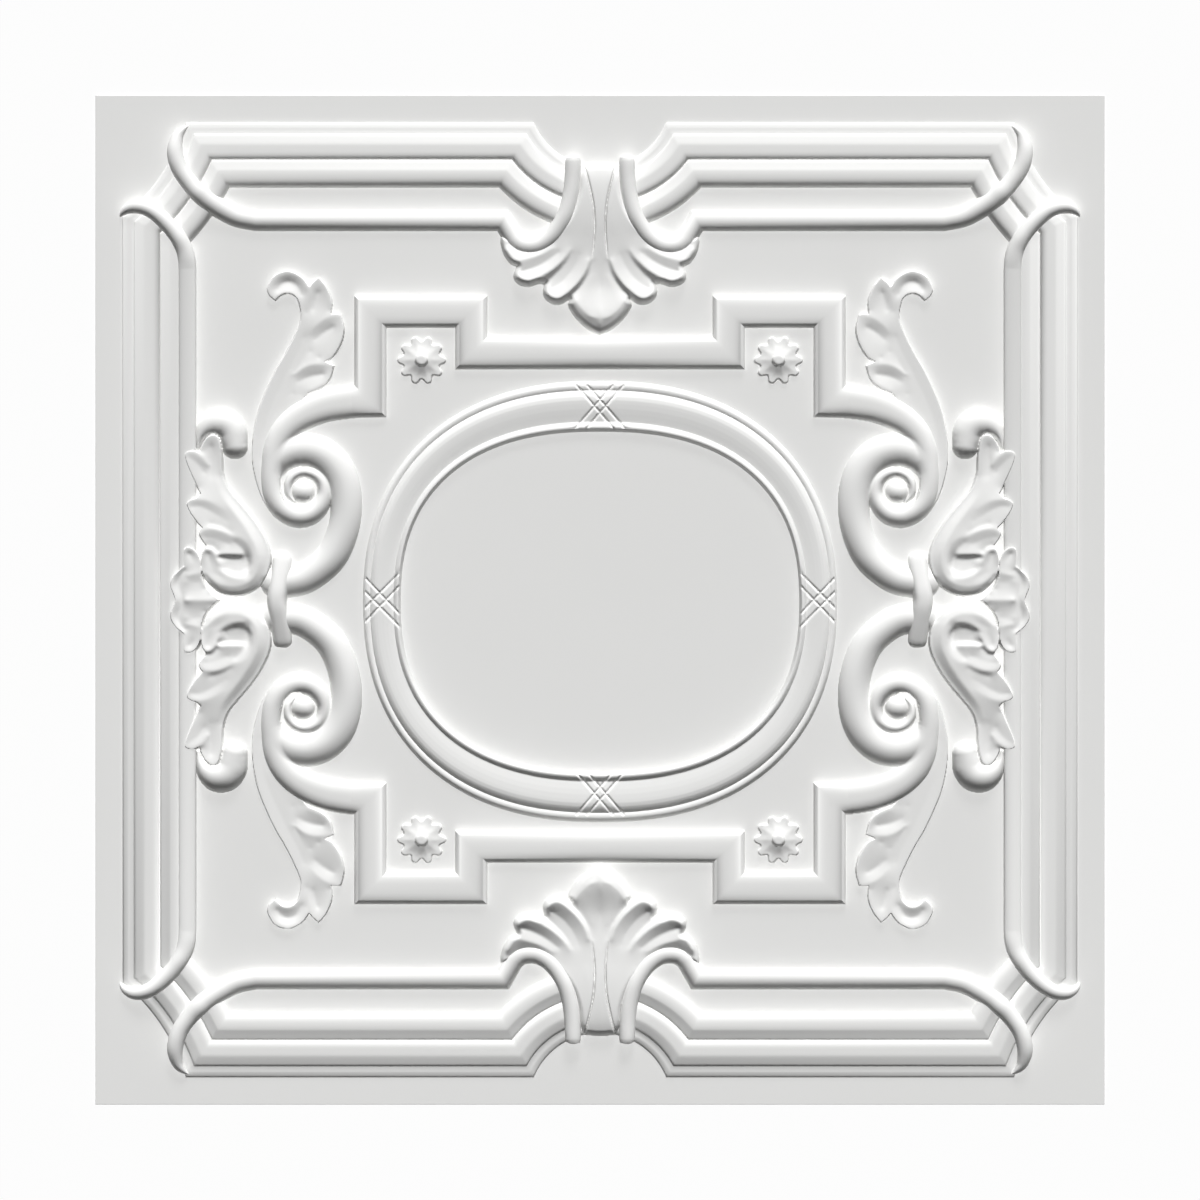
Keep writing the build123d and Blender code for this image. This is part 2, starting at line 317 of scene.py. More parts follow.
@dataclass
class Route:
    """Line that a raised form follows, with its spread and heights at each point."""

    centre: np.ndarray
    across: np.ndarray
    bend: np.ndarray
    height: np.ndarray
    lift: np.ndarray
    closed: bool

    COLUMNS: ClassVar[tuple[str, ...]] = ("centre", "across", "bend", "height", "lift")

    @classmethod
    def stroke(cls, runs: Sequence[Run], step: float = 1.2) -> "Route":
        """Make a route down the middle of a band.

        Args:
            runs: Knots of (x, y, half width, height) in millimetres; a fifth number lifts the arch.
            step: Greatest distance between points.

        Returns:
            The route.
        """
        table = joined(runs, step)
        place = table[:, :2]
        across = mitres(place) * table[:, 2:3]
        lift = table[:, 4] if table.shape[1] > 4 else np.zeros(len(place))
        return cls(place, across, np.zeros_like(place), table[:, 3], lift, False)

    @classmethod
    def ring(cls, outer: np.ndarray, across: np.ndarray, bend: np.ndarray) -> "Route":
        """Make a closed route inside an outer line, for a moulding whose section has true heights."""
        return cls(outer, across, bend, np.ones(len(outer)), np.zeros(len(outer)), True)

    def columns(self, base: float) -> dict[str, np.ndarray]:
        """Values of each point in metres, on a sheet of some height, by the forming tree's names."""
        flat = [with_height(self.centre, base), with_height(self.across, 0.0), with_height(self.bend, 0.0)]
        return {name: rows * MM for name, rows in zip(self.COLUMNS, [*flat, self.height, self.lift])}


class Section(Enum):
    """Named cross-sections of the relief."""

    CORD = "cord"
    STRAP = "strap"
    BORDER = "border"
    OVAL = "oval"


@dataclass(frozen=True)
class SectionShape:
    """Points round a cross-section: side, share of the height, share of the lift and sink at each."""

    rows: np.ndarray

    SINK: ClassVar[float] = 0.6
    COLUMNS: ClassVar[tuple[str, ...]] = ("side", "height_share", "lift_share", "sink")

    @classmethod
    def arched(cls, fullness: float, count: int) -> "SectionShape":
        """Section of a band that arches from one foot to the other.

        Args:
            fullness: Exponent of the arch; 2 is round and more is squarer.
            count: Points on the arch.

        Returns:
            The section.
        """
        angle = np.linspace(math.pi, 0, count)
        side = np.sign(np.cos(angle)) * np.abs(np.cos(angle)) ** (2 / fullness)
        rise = np.abs(np.sin(angle)) ** (2 / fullness)
        return cls._seated([(s, r, 1.0, 0.0) for s, r in zip(side, rise)])

    @classmethod
    def moulded(cls, face: Sequence[tuple[float, float]]) -> "SectionShape":
        """Section of a moulding whose face is given as (share of the width, height)."""
        return cls._seated([(s, r, 0.0, 0.0) for s, r in face])

    @classmethod
    def _seated(cls, face: list[Knot]) -> "SectionShape":
        """Close a section with a foot that lies within the sheet."""
        foot = [(face[end][0], 0.0, 0.0, cls.SINK) for end in (-1, 0)]
        return cls(np.array(face + foot))


def refined(face: Sequence[tuple[float, float]], step: float) -> list[tuple[float, float]]:
    """Add points to a face so that fine lines can be cut into it.

    Args:
        face: (share of the width, height) from the near edge to the far one.
        step: Greatest step in the share of the width.

    Returns:
        The face with the points added on its straights.
    """
    table = np.array(face)
    shares = [0.0]
    for low, high in zip(table[:-1, 0], table[1:, 0]):
        shares += list(np.linspace(low, high, max(1, math.ceil((high - low) / step)) + 1)[1:])
    return list(zip(shares, np.interp(shares, table[:, 0], table[:, 1])))


BORDER_FACE = [
    (0.0, 0.0), (0.2, 0.5), (0.45, 1.0), (0.8, 1.35), (1.4, 1.65), (2.4, 2.0), (3.2, 2.25), (3.9, 2.35),
    (6.7, 2.35), (6.9, 2.5), (7.15, 3.0), (7.45, 3.4), (7.9, 3.75), (8.6, 4.05), (10.0, 4.55),
    (11.4, 5.05), (12.6, 5.42), (13.4, 5.57), (14.4, 5.6), (17.2, 5.6), (18.2, 5.58), (19.2, 5.48),
    (20.2, 5.2), (21.0, 4.75), (21.7, 4.1), (22.2, 3.3), (22.45, 3.0), (22.6, 3.3), (22.85, 3.9),
    (23.2, 4.3), (23.8, 4.55), (25.0, 4.95), (26.4, 5.45), (27.6, 5.9), (28.4, 6.2), (29.2, 6.35),
    (31.4, 6.35), (32.6, 6.3), (33.8, 6.15), (34.9, 5.9), (35.9, 5.45), (36.8, 4.8), (37.5, 4.0),
    (38.1, 3.0), (38.55, 1.8), (38.9, 0.0),
]
BORDER_WIDTH = BORDER_FACE[-1][0]
OVAL_FACE = [
    (0.0, 0.0), (0.02, 1.0), (0.04, 1.8), (0.065, 2.5), (0.09, 2.85), (0.12, 2.9), (0.15, 2.75),
    (0.175, 2.4), (0.188, 2.2), (0.2, 2.5), (0.22, 3.1), (0.26, 3.8), (0.31, 4.4), (0.38, 4.7),
    (0.45, 4.65), (0.55, 4.45), (0.65, 4.1), (0.75, 3.65), (0.8, 3.4), (0.812, 3.45), (0.83, 4.0),
    (0.86, 4.75), (0.89, 5.25), (0.915, 5.4), (0.935, 5.25), (0.95, 4.5), (0.968, 2.8), (0.985, 1.1),
    (1.0, 0.0),
]
OVAL_FINE_STEP = 0.018
SECTIONS: dict[Section, SectionShape] = {
    Section.CORD: SectionShape.arched(fullness=2.0, count=15),
    Section.STRAP: SectionShape.arched(fullness=2.9, count=21),
    Section.BORDER: SectionShape.moulded([(d / BORDER_WIDTH, z) for d, z in BORDER_FACE]),
    Section.OVAL: SectionShape.moulded(refined(OVAL_FACE, OVAL_FINE_STEP)),
}


# Carved ornaments as height maps


def soft_max(first: np.ndarray, second: np.ndarray, radius: float) -> np.ndarray:
    """Take the higher of two heights, with a fillet where they cross.

    Args:
        first: Heights of one form.
        second: Heights of the other form.
        radius: Difference in height over which they blend.

    Returns:
        The blended heights.
    """
    near = np.maximum(radius - np.abs(first - second), 0.0) / radius
    return np.maximum(first, second) + near**2 * radius / 4


def neighbours(face: np.ndarray) -> np.ndarray:
    """Sum of the four neighbours of each point on a grid."""
    wide = np.pad(face, 1, mode="edge")
    return wide[:-2, 1:-1] + wide[2:, 1:-1] + wide[1:-1, :-2] + wide[1:-1, 2:]


def softened(face: np.ndarray, passes: int) -> np.ndarray:
    """Average a height map with its neighbours.

    Args:
        face: Heights on a grid.
        passes: Number of times.

    Returns:
        The smoother heights.
    """
    for _ in range(passes):
        face = (neighbours(face) + 4 * face) / 8
    return face


def stretched(face: np.ndarray, fixed: np.ndarray, rounds: int, pull: float = 1.88) -> np.ndarray:
    """Stretch a skin over the fixed points of a height map.

    Args:
        face: Heights on a grid; those of the fixed points stay.
        fixed: True for the fixed points.
        rounds: Number of times that each free point is levelled with its neighbours.
        pull: Over-relaxation; near 2 settles fastest on a large grid.

    Returns:
        The heights of the skin.
    """
    odd = np.indices(face.shape).sum(axis=0) % 2 == 1
    for turn in range(2 * rounds):
        free = ~fixed & (odd if turn % 2 else ~odd)
        face = np.where(free, face + pull * (neighbours(face) / 4 - face), face)
    return face


@dataclass
class Carving:
    """Height map of a carved ornament, in millimetres above the sheet's face."""

    low: tuple[float, float]
    high: tuple[float, float]
    step: float
    fold: tuple[bool, bool] = (False, False)

    FLOOR: ClassVar[float] = -4.0
    FALL: ClassVar[float] = 3.0
    SINK: ClassVar[float] = 0.5
    FOOT: ClassVar[float] = 0.2
    MARGIN: ClassVar[float] = 2.0
    STROKE_STEP: ClassVar[float] = 1.2
    EDGE_STEP: ClassVar[float] = 0.8
    FINE_STEP: ClassVar[float] = 1.0
    DOT: ClassVar[float] = 0.01
    CREASE_POWER: ClassVar[float] = 1.5
    RIM_SHARE: ClassVar[float] = 0.7
    SOFT_PASSES: ClassVar[int] = 8
    STRETCH_ROUNDS: ClassVar[int] = 200

    def __post_init__(self) -> None:
        """Lay out the grid, with folded axes measured from their centre line."""
        across = np.arange(self.low[0], self.high[0] + self.step / 2, self.step)
        up = np.arange(self.low[1], self.high[1] + self.step / 2, self.step)
        self.x, self.y = np.meshgrid(across, up, indexing="ij")
        self.u = np.abs(self.x) if self.fold[0] else self.x
        self.v = np.abs(self.y) if self.fold[1] else self.y
        self.z = np.full(self.x.shape, self.FLOOR)

    def _window(self, line: np.ndarray, margin: float) -> tuple[slice, slice]:
        """Choose the block of the grid round a line.

        Args:
            line: Points of the line.
            margin: Distance round its box.

        Returns:
            Slices of the grid across and up.
        """
        low, high = line[:, :2].min(axis=0) - margin, line[:, :2].max(axis=0) + margin
        near = (self.u > low[0]) & (self.u < high[0]) & (self.v > low[1]) & (self.v < high[1])
        across, up = np.flatnonzero(near.any(axis=1)), np.flatnonzero(near.any(axis=0))
        return slice(across[0], across[-1] + 1), slice(up[0], up[-1] + 1)

    def _nearest(
        self, window: tuple[slice, slice], line: np.ndarray, closed: bool = False
    ) -> tuple[np.ndarray, np.ndarray]:
        """Measure the grid points from a line.

        Args:
            window: Block of the grid.
            line: Points of the line.
            closed: Whether the line is a loop.

        Returns:
            Distance of each grid point, and where along the line it was measured, in line points.
        """
        u, v = self.u[window], self.v[window]
        best = np.full(u.shape, np.inf)
        where = np.zeros(u.shape)
        ends = np.roll(line, -1, axis=0)
        for index in range(len(line) - (0 if closed else 1)):
            gap, t = from_line(u, v, line[index, :2], ends[index, :2])
            closer = gap < best
            best[closer] = gap[closer]
            where[closer] = index + t[closer]
        return best, where

    def _within(self, line: np.ndarray) -> tuple[tuple[slice, slice], np.ndarray, np.ndarray]:
        """Find the grid points inside a loop.

        Args:
            line: Points of the loop.

        Returns:
            The block of the grid round the loop, each point's distance from it, and whether it is inside.
        """
        window = self._window(line, self.MARGIN)
        gap, _ = self._nearest(window, line, True)
        u, v = self.u[window], self.v[window]
        inside = np.zeros(u.shape, bool)
        for (ax, ay), (bx, by) in zip(line, np.roll(line, -1, axis=0)):
            if ay != by:
                crosses = (ay > v) != (by > v)
                inside ^= crosses & (u < (bx - ax) * (v - ay) / (by - ay) + ax)
        return window, gap, inside

    def _along(self, knots: Run, step: float) -> tuple[tuple[slice, slice], np.ndarray, list[np.ndarray]]:
        """Measure the grid round an open line and read the line's further columns there.

        Args:
            knots: (x, y, half width, ...) along the line.
            step: Greatest distance between its points.

        Returns:
            The block of the grid, each point's distance from the line, and the columns after the place.
        """
        line = blended(knots, step)
        window = self._window(line, line[:, 2].max() + self.MARGIN)
        gap, where = self._nearest(window, line)
        return window, gap, [np.interp(where, np.arange(len(line)), column) for column in line.T[2:]]

    def _add(self, window: tuple[slice, slice], height: np.ndarray, blend: float) -> "Carving":
        """Blend a form into the map."""
        self.z[window] = soft_max(self.z[window], np.maximum(height, self.FLOOR), blend)
        return self

    def _walled(self, face: np.ndarray, gap: np.ndarray, inside: np.ndarray, wall: float) -> np.ndarray:
        """Round a face down to its edge, and let the map fall away outside it."""
        rise = np.sqrt(1 - (1 - np.minimum(gap / wall, 1.0)) ** 2)
        return np.where(inside, rise * face, -gap * self.FALL)

    def stroke(self, knots: Run, fullness: float = 2.0, blend: float = 1.0) -> "Carving":
        """Add a rounded band.

        Args:
            knots: (x, y, half width, height) along the band; a fifth number is the fullness there.
            fullness: Exponent of its arch; 2 is round and more is squarer.
            blend: Fillet where it meets other forms.

        Returns:
            The carving itself.
        """
        window, gap, (half, crest, *given) = self._along(knots, self.STROKE_STEP)
        power = given[0] if given else fullness
        arch = crest * (1 - np.minimum(gap / half, 1.0) ** power) ** (1 / power)
        return self._add(window, np.where(gap < half, arch, (half - gap) * self.FALL), blend)

    def dome(self, place: Knot, radius: float, height: float, fullness: float, blend: float) -> "Carving":
        """Add a round boss, as a band that is no longer than a dot."""
        x, y = place
        return self.stroke([(x, y, radius, height), (x + self.DOT, y, radius, height)], fullness, blend)

    def cone(
        self, outline: Run, place: Knot, rim: float, crest: float, wall: float, blend: float
    ) -> "Carving":
        """Add a form that rises from its outline to its middle.

        Args:
            outline: Knots of (x, y) round the form.
            place: Its middle.
            rim: Height at the edge.
            crest: Height in the middle.
            wall: Width over which the edge rises.
            blend: Fillet where it meets other forms.

        Returns:
            The carving itself.
        """
        window, gap, inside = self._within(blended(outline, self.FINE_STEP, True))
        x, y = place
        reach, _ = self._nearest(window, np.array([(x, y), (x + self.DOT, y)]))
        past = np.maximum(np.where(inside, gap, 0.0) - self.RIM_SHARE * wall, 0.0)
        toward = past / (past + reach + 1e-6)
        face = softened(rim + (crest - rim) * toward**2 * (3 - 2 * toward), self.SOFT_PASSES)
        return self._add(window, self._walled(face, gap, inside, wall), blend)

    def drape(self, runs: Sequence[Run], folds: dict[str, Run], wall: float, blend: float) -> "Carving":
        """Add a form whose face is stretched smoothly over ridges and hollows.

        Args:
            runs: Corner-to-corner runs of (x, y) knots round the form.
            folds: (x, y, height) knots along each ridge or hollow, by name.
            wall: Width over which the edge rises.
            blend: Fillet where it meets other forms.

        Returns:
            The carving itself.
        """
        window, gap, inside = self._within(joined(runs, self.EDGE_STEP, True))
        lines = np.vstack([blended(knots, self.step / 2) for knots in folds.values()])
        face = np.full(self.z.shape, lines[:, 2].mean())
        fixed = np.zeros(self.z.shape, bool)
        for across in (1, -1) if self.fold[0] else (1,):
            for up in (1, -1) if self.fold[1] else (1,):
                i = np.rint((across * lines[:, 0] - self.low[0]) / self.step).astype(int)
                j = np.rint((up * lines[:, 1] - self.low[1]) / self.step).astype(int)
                face[i, j], fixed[i, j] = lines[:, 2], True
        face = softened(stretched(face[window], fixed[window], self.STRETCH_ROUNDS), self.SOFT_PASSES)
        return self._add(window, self._walled(face, gap, inside, wall), blend)

    def crease(self, knots: Run) -> "Carving":
        """Cut a narrow groove.

        Args:
            knots: (x, y, half width, depth) along the groove.

        Returns:
            The carving itself.
        """
        window, gap, (half, depth) = self._along(knots, self.FINE_STEP)
        cut = depth * np.maximum(1 - gap / half, 0.0) ** self.CREASE_POWER
        self.z[window] -= np.where(self.z[window] > 0, cut, 0.0)
        return self

    def mesh(self, name: str, base: float) -> bpy.types.Mesh:
        """Turn the map into a closed mesh that stands in the sheet.

        Args:
            name: Name of the mesh.
            base: Height of the sheet's face.

        Returns:
            The mesh in metres.
        """
        solid = self.z > -self.SINK
        cell = solid[:-1, :-1] | solid[1:, :-1] | solid[:-1, 1:] | solid[1:, 1:]
        size = self.z.size
        ids = np.arange(size).reshape(self.z.shape)
        i, j = np.nonzero(cell)
        quads = np.stack([ids[i, j], ids[i + 1, j], ids[i + 1, j + 1], ids[i, j + 1]], axis=1)
        pairs = np.stack([quads, np.roll(quads, -1, axis=1)], axis=2).reshape(-1, 2)
        _, first, count = np.unique(np.sort(pairs, axis=1), axis=0, return_index=True, return_counts=True)
        rim = pairs[first[count == 1]]
        top = np.maximum(self.z, -self.SINK).ravel() + base
        place = np.stack([self.x.ravel(), self.y.ravel(), top], axis=1)
        under = place.copy()
        under[:, 2] = base - self.SINK - self.FOOT
        walls = np.stack([rim[:, 1], rim[:, 0], rim[:, 0] + size, rim[:, 1] + size], axis=1)
        kept = np.zeros(size, bool)
        kept[rim] = True
        strips = self._strips(cell, kept.reshape(self.z.shape), ids + size)
        used = np.unique(np.concatenate([quads.ravel(), walls.ravel()]))
        lookup = np.zeros(2 * size, int)
        lookup[used] = np.arange(len(used))
        faces = lookup[np.vstack([quads, walls])].tolist() + [lookup[strip].tolist() for strip in strips]
        made = bpy.data.meshes.new(name)
        made.from_pydata((np.vstack([place, under]) * MM)[used], [], faces)
        return made

    @staticmethod
    def _strips(cell: np.ndarray, kept: np.ndarray, ids: np.ndarray) -> list[list[int]]:
        """Cover the underside with one strip for each run of cells up the map.

        Args:
            cell: True for the cells of the form.
            kept: True for the points on its rim, the only ones that the underside needs.
            ids: Numbers of the underside's points.

        Returns:
            Faces that look down.
        """
        faces = []
        for column, row in enumerate(cell):
            ends = np.flatnonzero(np.diff(np.concatenate([[0], row.astype(int), [0]])))
            for start, stop in ends.reshape(-1, 2):
                left = [ids[column, j] for j in range(start, stop + 1) if kept[column, j]]
                right = [ids[column + 1, j] for j in range(stop, start - 1, -1) if kept[column + 1, j]]
                faces.append(left + right)
        return faces


def from_line(x: np.ndarray, y: np.ndarray, start: Knot, end: Knot) -> tuple[np.ndarray, np.ndarray]:
    """Measure points from a straight line.

    Args:
        x: Places across.
        y: Places up.
        start: First end of the line.
        end: Other end of the line.

    Returns:
        Distance of each point, and its share of the way along the line.
    """
    (ax, ay), (bx, by) = start, end
    dx, dy = bx - ax, by - ay
    t = np.clip(((x - ax) * dx + (y - ay) * dy) / (dx * dx + dy * dy), 0, 1)
    return np.hypot(x - ax - t * dx, y - ay - t * dy), t


# Geometry Nodes trees that form and mirror the relief


class MirrorTree(NodeKit):
    """Geometry Nodes tree that mirrors a carved form about the panel's centre lines."""

    name: ClassVar[str] = "mirror_form"
    inputs: ClassVar[dict[str, str]] = {
        "Geometry": "NodeSocketGeometry",
        "Mirror across": "NodeSocketBool",
        "Mirror up": "NodeSocketBool",
        "Finish": "NodeSocketMaterial",
    }

    def __init__(self) -> None:
        """Build the tree with its named inputs, and keep the inputs' identifiers."""
        super().__init__(bpy.data.node_groups.new(self.name, "GeometryNodeTree"))
        sides = self.tree.interface
        sides.new_socket("Geometry", in_out="OUTPUT", socket_type="NodeSocketGeometry")
        self.sockets = {
            name: sides.new_socket(name, in_out="INPUT", socket_type=kind).identifier
            for name, kind in self.inputs.items()
        }
        start = self.tree.nodes.new("NodeGroupInput")
        self.given = {name: Value(self, start.outputs[name]) for name in self.inputs}
        half = self._mirrored(self._wire(), (-1.0, 1.0, 1.0), self.given["Mirror across"])
        whole = self._mirrored(half, (1.0, -1.0, 1.0), self.given["Mirror up"])
        real = self.node("GeometryNodeRealizeInstances", {}, {"Geometry": whole})
        coat = {"Geometry": real, "Material": self.given["Finish"]}
        dressed = self.node("GeometryNodeSetMaterial", {}, coat)
        self.node("NodeGroupOutput", {}, {0: dressed})

    def _wire(self) -> Value:
        """Link the nodes that come before the mirrors."""
        return self.given["Geometry"]

    def _mirrored(self, shape: Value, scale: tuple[float, float, float], wanted: Value) -> Value:
        """Join a shape with its mirror image where that is wanted.

        Args:
            shape: Geometry to mirror.
            scale: Scale with one negative number.
            wanted: Switch for the mirror image.

        Returns:
            The joined geometry.
        """
        turned = self.node("GeometryNodeTransform", {}, {"Geometry": shape, "Scale": scale})
        flipped = self.node("GeometryNodeFlipFaces", {}, {"Mesh": turned})
        choice = {"Switch": wanted, "True": flipped}
        chosen = self.node("GeometryNodeSwitch", {"input_type": "GEOMETRY"}, choice)
        return self.node("GeometryNodeJoinGeometry", {}, {0: [shape, chosen]})

    def evaluate(self, helper: bpy.types.Object, values: dict[str, Any]) -> bpy.types.Mesh:
        """Run the tree on a helper object and keep the result.

        Args:
            helper: Object that gives the geometry; it is used up.
            values: Values of the named inputs.

        Returns:
            A plain mesh.
        """
        modifier = helper.modifiers.new("form", "NODES")
        modifier.node_group = self.tree
        for name, value in values.items():
            modifier[self.sockets[name]] = value
        graph = bpy.context.evaluated_depsgraph_get()
        mesh = bpy.data.meshes.new_from_object(helper.evaluated_get(graph))
        helper.modifiers.remove(modifier)
        discard(helper)
        return mesh

    def mirror(
        self, mesh: bpy.types.Mesh, finish: bpy.types.Material, mirror: tuple[bool, bool]
    ) -> bpy.types.Mesh:
        """Mirror a carved mesh across and up where that is wanted; the carved mesh is used up."""
        values = {"Mirror across": mirror[0], "Mirror up": mirror[1], "Finish": finish}
        return self.evaluate(placed("carving", mesh), values)


class FormingTree(MirrorTree):
    """Geometry Nodes tree that draws a section along routes and mirrors the form."""

    name: ClassVar[str] = "form_along_route"
    inputs: ClassVar[dict[str, str]] = {
        **MirrorTree.inputs,
        "Section": "NodeSocketObject",
        "Weld": "NodeSocketFloat",
    }
    WELD: ClassVar[float] = 0.01
    SPACING: ClassVar[float] = 10.0

    def __init__(self) -> None:
        """Build this tree, and the one that only mirrors."""
        super().__init__()
        self.mirrors = MirrorTree()

    def _read(self, name: str, kind: str = "FLOAT") -> Value:
        """Read a named attribute of the routes or the section."""
        return self.node("GeometryNodeInputNamedAttribute", {"data_type": kind}, {"Name": name})

    def _scaled(self, name: str, by: Value) -> Value:
        """Scale a vector attribute by a number."""
        vector = self._read(name, "FLOAT_VECTOR")
        return self.node("ShaderNodeVectorMath", {"operation": "SCALE"}, {0: vector, "Scale": by})

    def _summed(self, first: Value, second: Value) -> Value:
        """Add two vectors."""
        return self.node("ShaderNodeVectorMath", {"operation": "ADD"}, {0: first, 1: second})

    def _wire(self) -> Value:
        """Link the nodes that draw the section along the routes.

        Returns:
            The drawn form.
        """
        route = self.node("GeometryNodeMeshToCurve", {}, {"Mesh": self.given["Geometry"]})
        held = self.node("GeometryNodeObjectInfo", {}, {"Object": self.given["Section"]}, "Geometry")
        section = self.node("GeometryNodeMeshToCurve", {}, {"Mesh": held})
        drawn = {"Curve": route, "Profile Curve": section, "Fill Caps": True}
        swept = self.node("GeometryNodeCurveToMesh", {}, drawn)
        side = self._read("side")
        spread, bend = self._scaled("across", side), self._scaled("bend", side * side)
        height = self._read("height") * self._read("height_share")
        lift = self._read("lift") * self._read("lift_share")
        up = self.node("ShaderNodeCombineXYZ", {}, {"Z": height + lift - self._read("sink")})
        reach = self._summed(self._summed(spread, bend), up)
        place = self._summed(self._read("centre", "FLOAT_VECTOR"), reach)
        formed = self.node("GeometryNodeSetPosition", {}, {"Geometry": swept, "Position": place})
        near = {"Geometry": formed, "Distance": self.given["Weld"]}
        return self.node("GeometryNodeMergeByDistance", {}, near)

    def form(
        self,
        routes: Sequence[Route],
        section: Section,
        finish: bpy.types.Material,
        base: float,
        mirror: tuple[bool, bool] = (True, True),
    ) -> bpy.types.Mesh:
        """Form a section along routes.

        Args:
            routes: Routes in millimetres.
            section: Cross-section to draw along them.
            finish: Material of the form.
            base: Height of the sheet's face in millimetres.
            mirror: Whether the form is mirrored across and up.

        Returns:
            A plain mesh in metres.
        """
        path = line_object("route", [(route.centre, route.closed) for route in routes], base)
        tables = [route.columns(base) for route in routes]
        for name in Route.COLUMNS:
            put_attributes(path.data, {name: np.concatenate([table[name] for table in tables])})
        rows = SECTIONS[section].rows
        drawn = np.stack([rows[:, 0] * self.SPACING, np.arange(len(rows)) * 1.0], axis=1)
        profile = line_object("section", [(drawn, True)], 0.0)
        put_attributes(profile.data, dict(zip(SectionShape.COLUMNS, (rows * (1.0, 1.0, 1.0, MM)).T)))
        values = {
            "Section": profile,
            "Mirror across": mirror[0],
            "Mirror up": mirror[1],
            "Weld": self.WELD * MM,
            "Finish": finish,
        }
        mesh = self.evaluate(path, values)
        discard(profile)
        return mesh


def placed(name: str, mesh: bpy.types.Mesh) -> bpy.types.Object:
    """Put a mesh into the scene as an object.

    Args:
        name: Name of the object.
        mesh: Its mesh.

    Returns:
        The object.
    """
    made = bpy.data.objects.new(name, mesh)
    bpy.context.scene.collection.objects.link(made)
    return made


def discard(helper: bpy.types.Object) -> None:
    """Remove a helper object and its mesh.

    Args:
        helper: Object to remove.
    """
    data = helper.data
    bpy.data.objects.remove(helper)
    bpy.data.meshes.remove(data)


def with_height(place: np.ndarray, height: float) -> np.ndarray:
    """Give flat points a height."""
    return np.column_stack([place, np.full(len(place), height)])


def put_attributes(mesh: bpy.types.Mesh, columns: dict[str, np.ndarray]) -> None:
    """Store named values on a mesh's points.

    Args:
        mesh: Mesh to write to.
        columns: One row for each point, a number or a vector.
    """
    for name, rows in columns.items():
        kind, key = ("FLOAT_VECTOR", "vector") if rows.ndim == 2 else ("FLOAT", "value")
        layer = mesh.attributes.new(name, kind, "POINT")
        layer.data.foreach_set(key, np.ascontiguousarray(rows, np.float32).ravel())


def line_object(name: str, lines: Sequence[tuple[np.ndarray, bool]], height: float) -> bpy.types.Object:
    """Make an object of loose edges along lines.

    Args:
        name: Name of the object.
        lines: Flat points of each line, in millimetres, and whether it is a loop.
        height: Height of the lines.

    Returns:
        The object, linked to the scene.
    """
    edges: list[tuple[int, int]] = []
    start = 0
    for line, loop in lines:
        count = len(line)
        edges += [(start + i, start + i + 1) for i in range(count - 1)]
        if loop:
            edges.append((start + count - 1, start))
        start += count
    mesh = bpy.data.meshes.new(name)
    mesh.from_pydata(np.vstack([with_height(line, height) * MM for line, _ in lines]), edges, [])
    return placed(name, mesh)


# Sub-assemblies of the panel


@dataclass
class Relief:
    """Part of the relief: forms its meshes and joins them into one piece of the panel."""

    forming: FormingTree
    finish: bpy.types.Material
    base: float
    crease_deg: float = field(default=38.0, init=False)
    name: ClassVar[str] = "relief"

    def meshes(self) -> list[bpy.types.Mesh]:
        """Form the meshes of this part, plain and in metres."""
        raise NotImplementedError

    def build(self) -> bpy.types.Object:
        """Join the meshes into one piece and place it on the panel.

        Returns:
            The finished piece.
        """
        joint = bmesh.new()
        for mesh in self.meshes():
            joint.from_mesh(mesh)
            bpy.data.meshes.remove(mesh)
        bmesh.ops.recalc_face_normals(joint, faces=joint.faces)
        data = bpy.data.meshes.new(self.name)
        joint.to_mesh(data)
        joint.free()
        spent = (*Route.COLUMNS, *SectionShape.COLUMNS)
        for layer in [a.name for a in data.attributes if a.name in spent]:
            data.attributes.remove(data.attributes[layer])
        data.materials.clear()
        data.materials.append(self.finish)
        data.polygons.foreach_set("material_index", np.zeros(len(data.polygons), np.int32))
        data.shade_smooth()
        data.set_sharp_from_angle(angle=math.radians(self.crease_deg))
        piece = placed(self.name, data)
        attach(piece, BODY)
        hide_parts(NODE)
        LOG.info("%s: %d faces", self.name, len(data.polygons))
        return piece


@dataclass
class CarvedRelief(Relief):
    """Part of the relief that is carved once as a height map and mirrored."""

    mirror: ClassVar[tuple[bool, bool]] = (True, True)

    def carving(self) -> Carving:
        """Carve the ornament as a height map."""
        raise NotImplementedError

    def carved(self) -> bpy.types.Mesh:
        """Turn the carving into a mesh and mirror it."""
        mesh = self.carving().mesh(self.name, self.base)
        return self.forming.mirrors.mirror(mesh, self.finish, self.mirror)

    def meshes(self) -> list[bpy.types.Mesh]:
        """Make the carved ornaments."""
        return [self.carved()]


@dataclass
class Sheet(Relief):
    """Flat PVC sheet that carries the relief."""

    half_side: float = HALF_SIDE
    edge_round: float = 0.25
    edge_segments: int = 2
    crease_deg: float = field(default=5.0, init=False)
    name: ClassVar[str] = "sheet"

    def meshes(self) -> list[bpy.types.Mesh]:
        """Make the sheet as a thin plate with eased edges.

        Returns:
            The plate.
        """
        plate = bmesh.new()
        bmesh.ops.create_cube(plate, size=1.0)
        size = (2 * self.half_side * MM, 2 * self.half_side * MM, self.base * MM)
        bmesh.ops.scale(plate, vec=size, verts=plate.verts)
        bmesh.ops.translate(plate, vec=(0, 0, self.base * MM / 2), verts=plate.verts)
        ease = {"offset": self.edge_round * MM, "segments": self.edge_segments, "profile": 0.5}
        bmesh.ops.bevel(plate, geom=plate.edges[:], affect="EDGES", **ease)
        mesh = bpy.data.meshes.new(self.name)
        plate.to_mesh(mesh)
        plate.free()
        return [mesh]


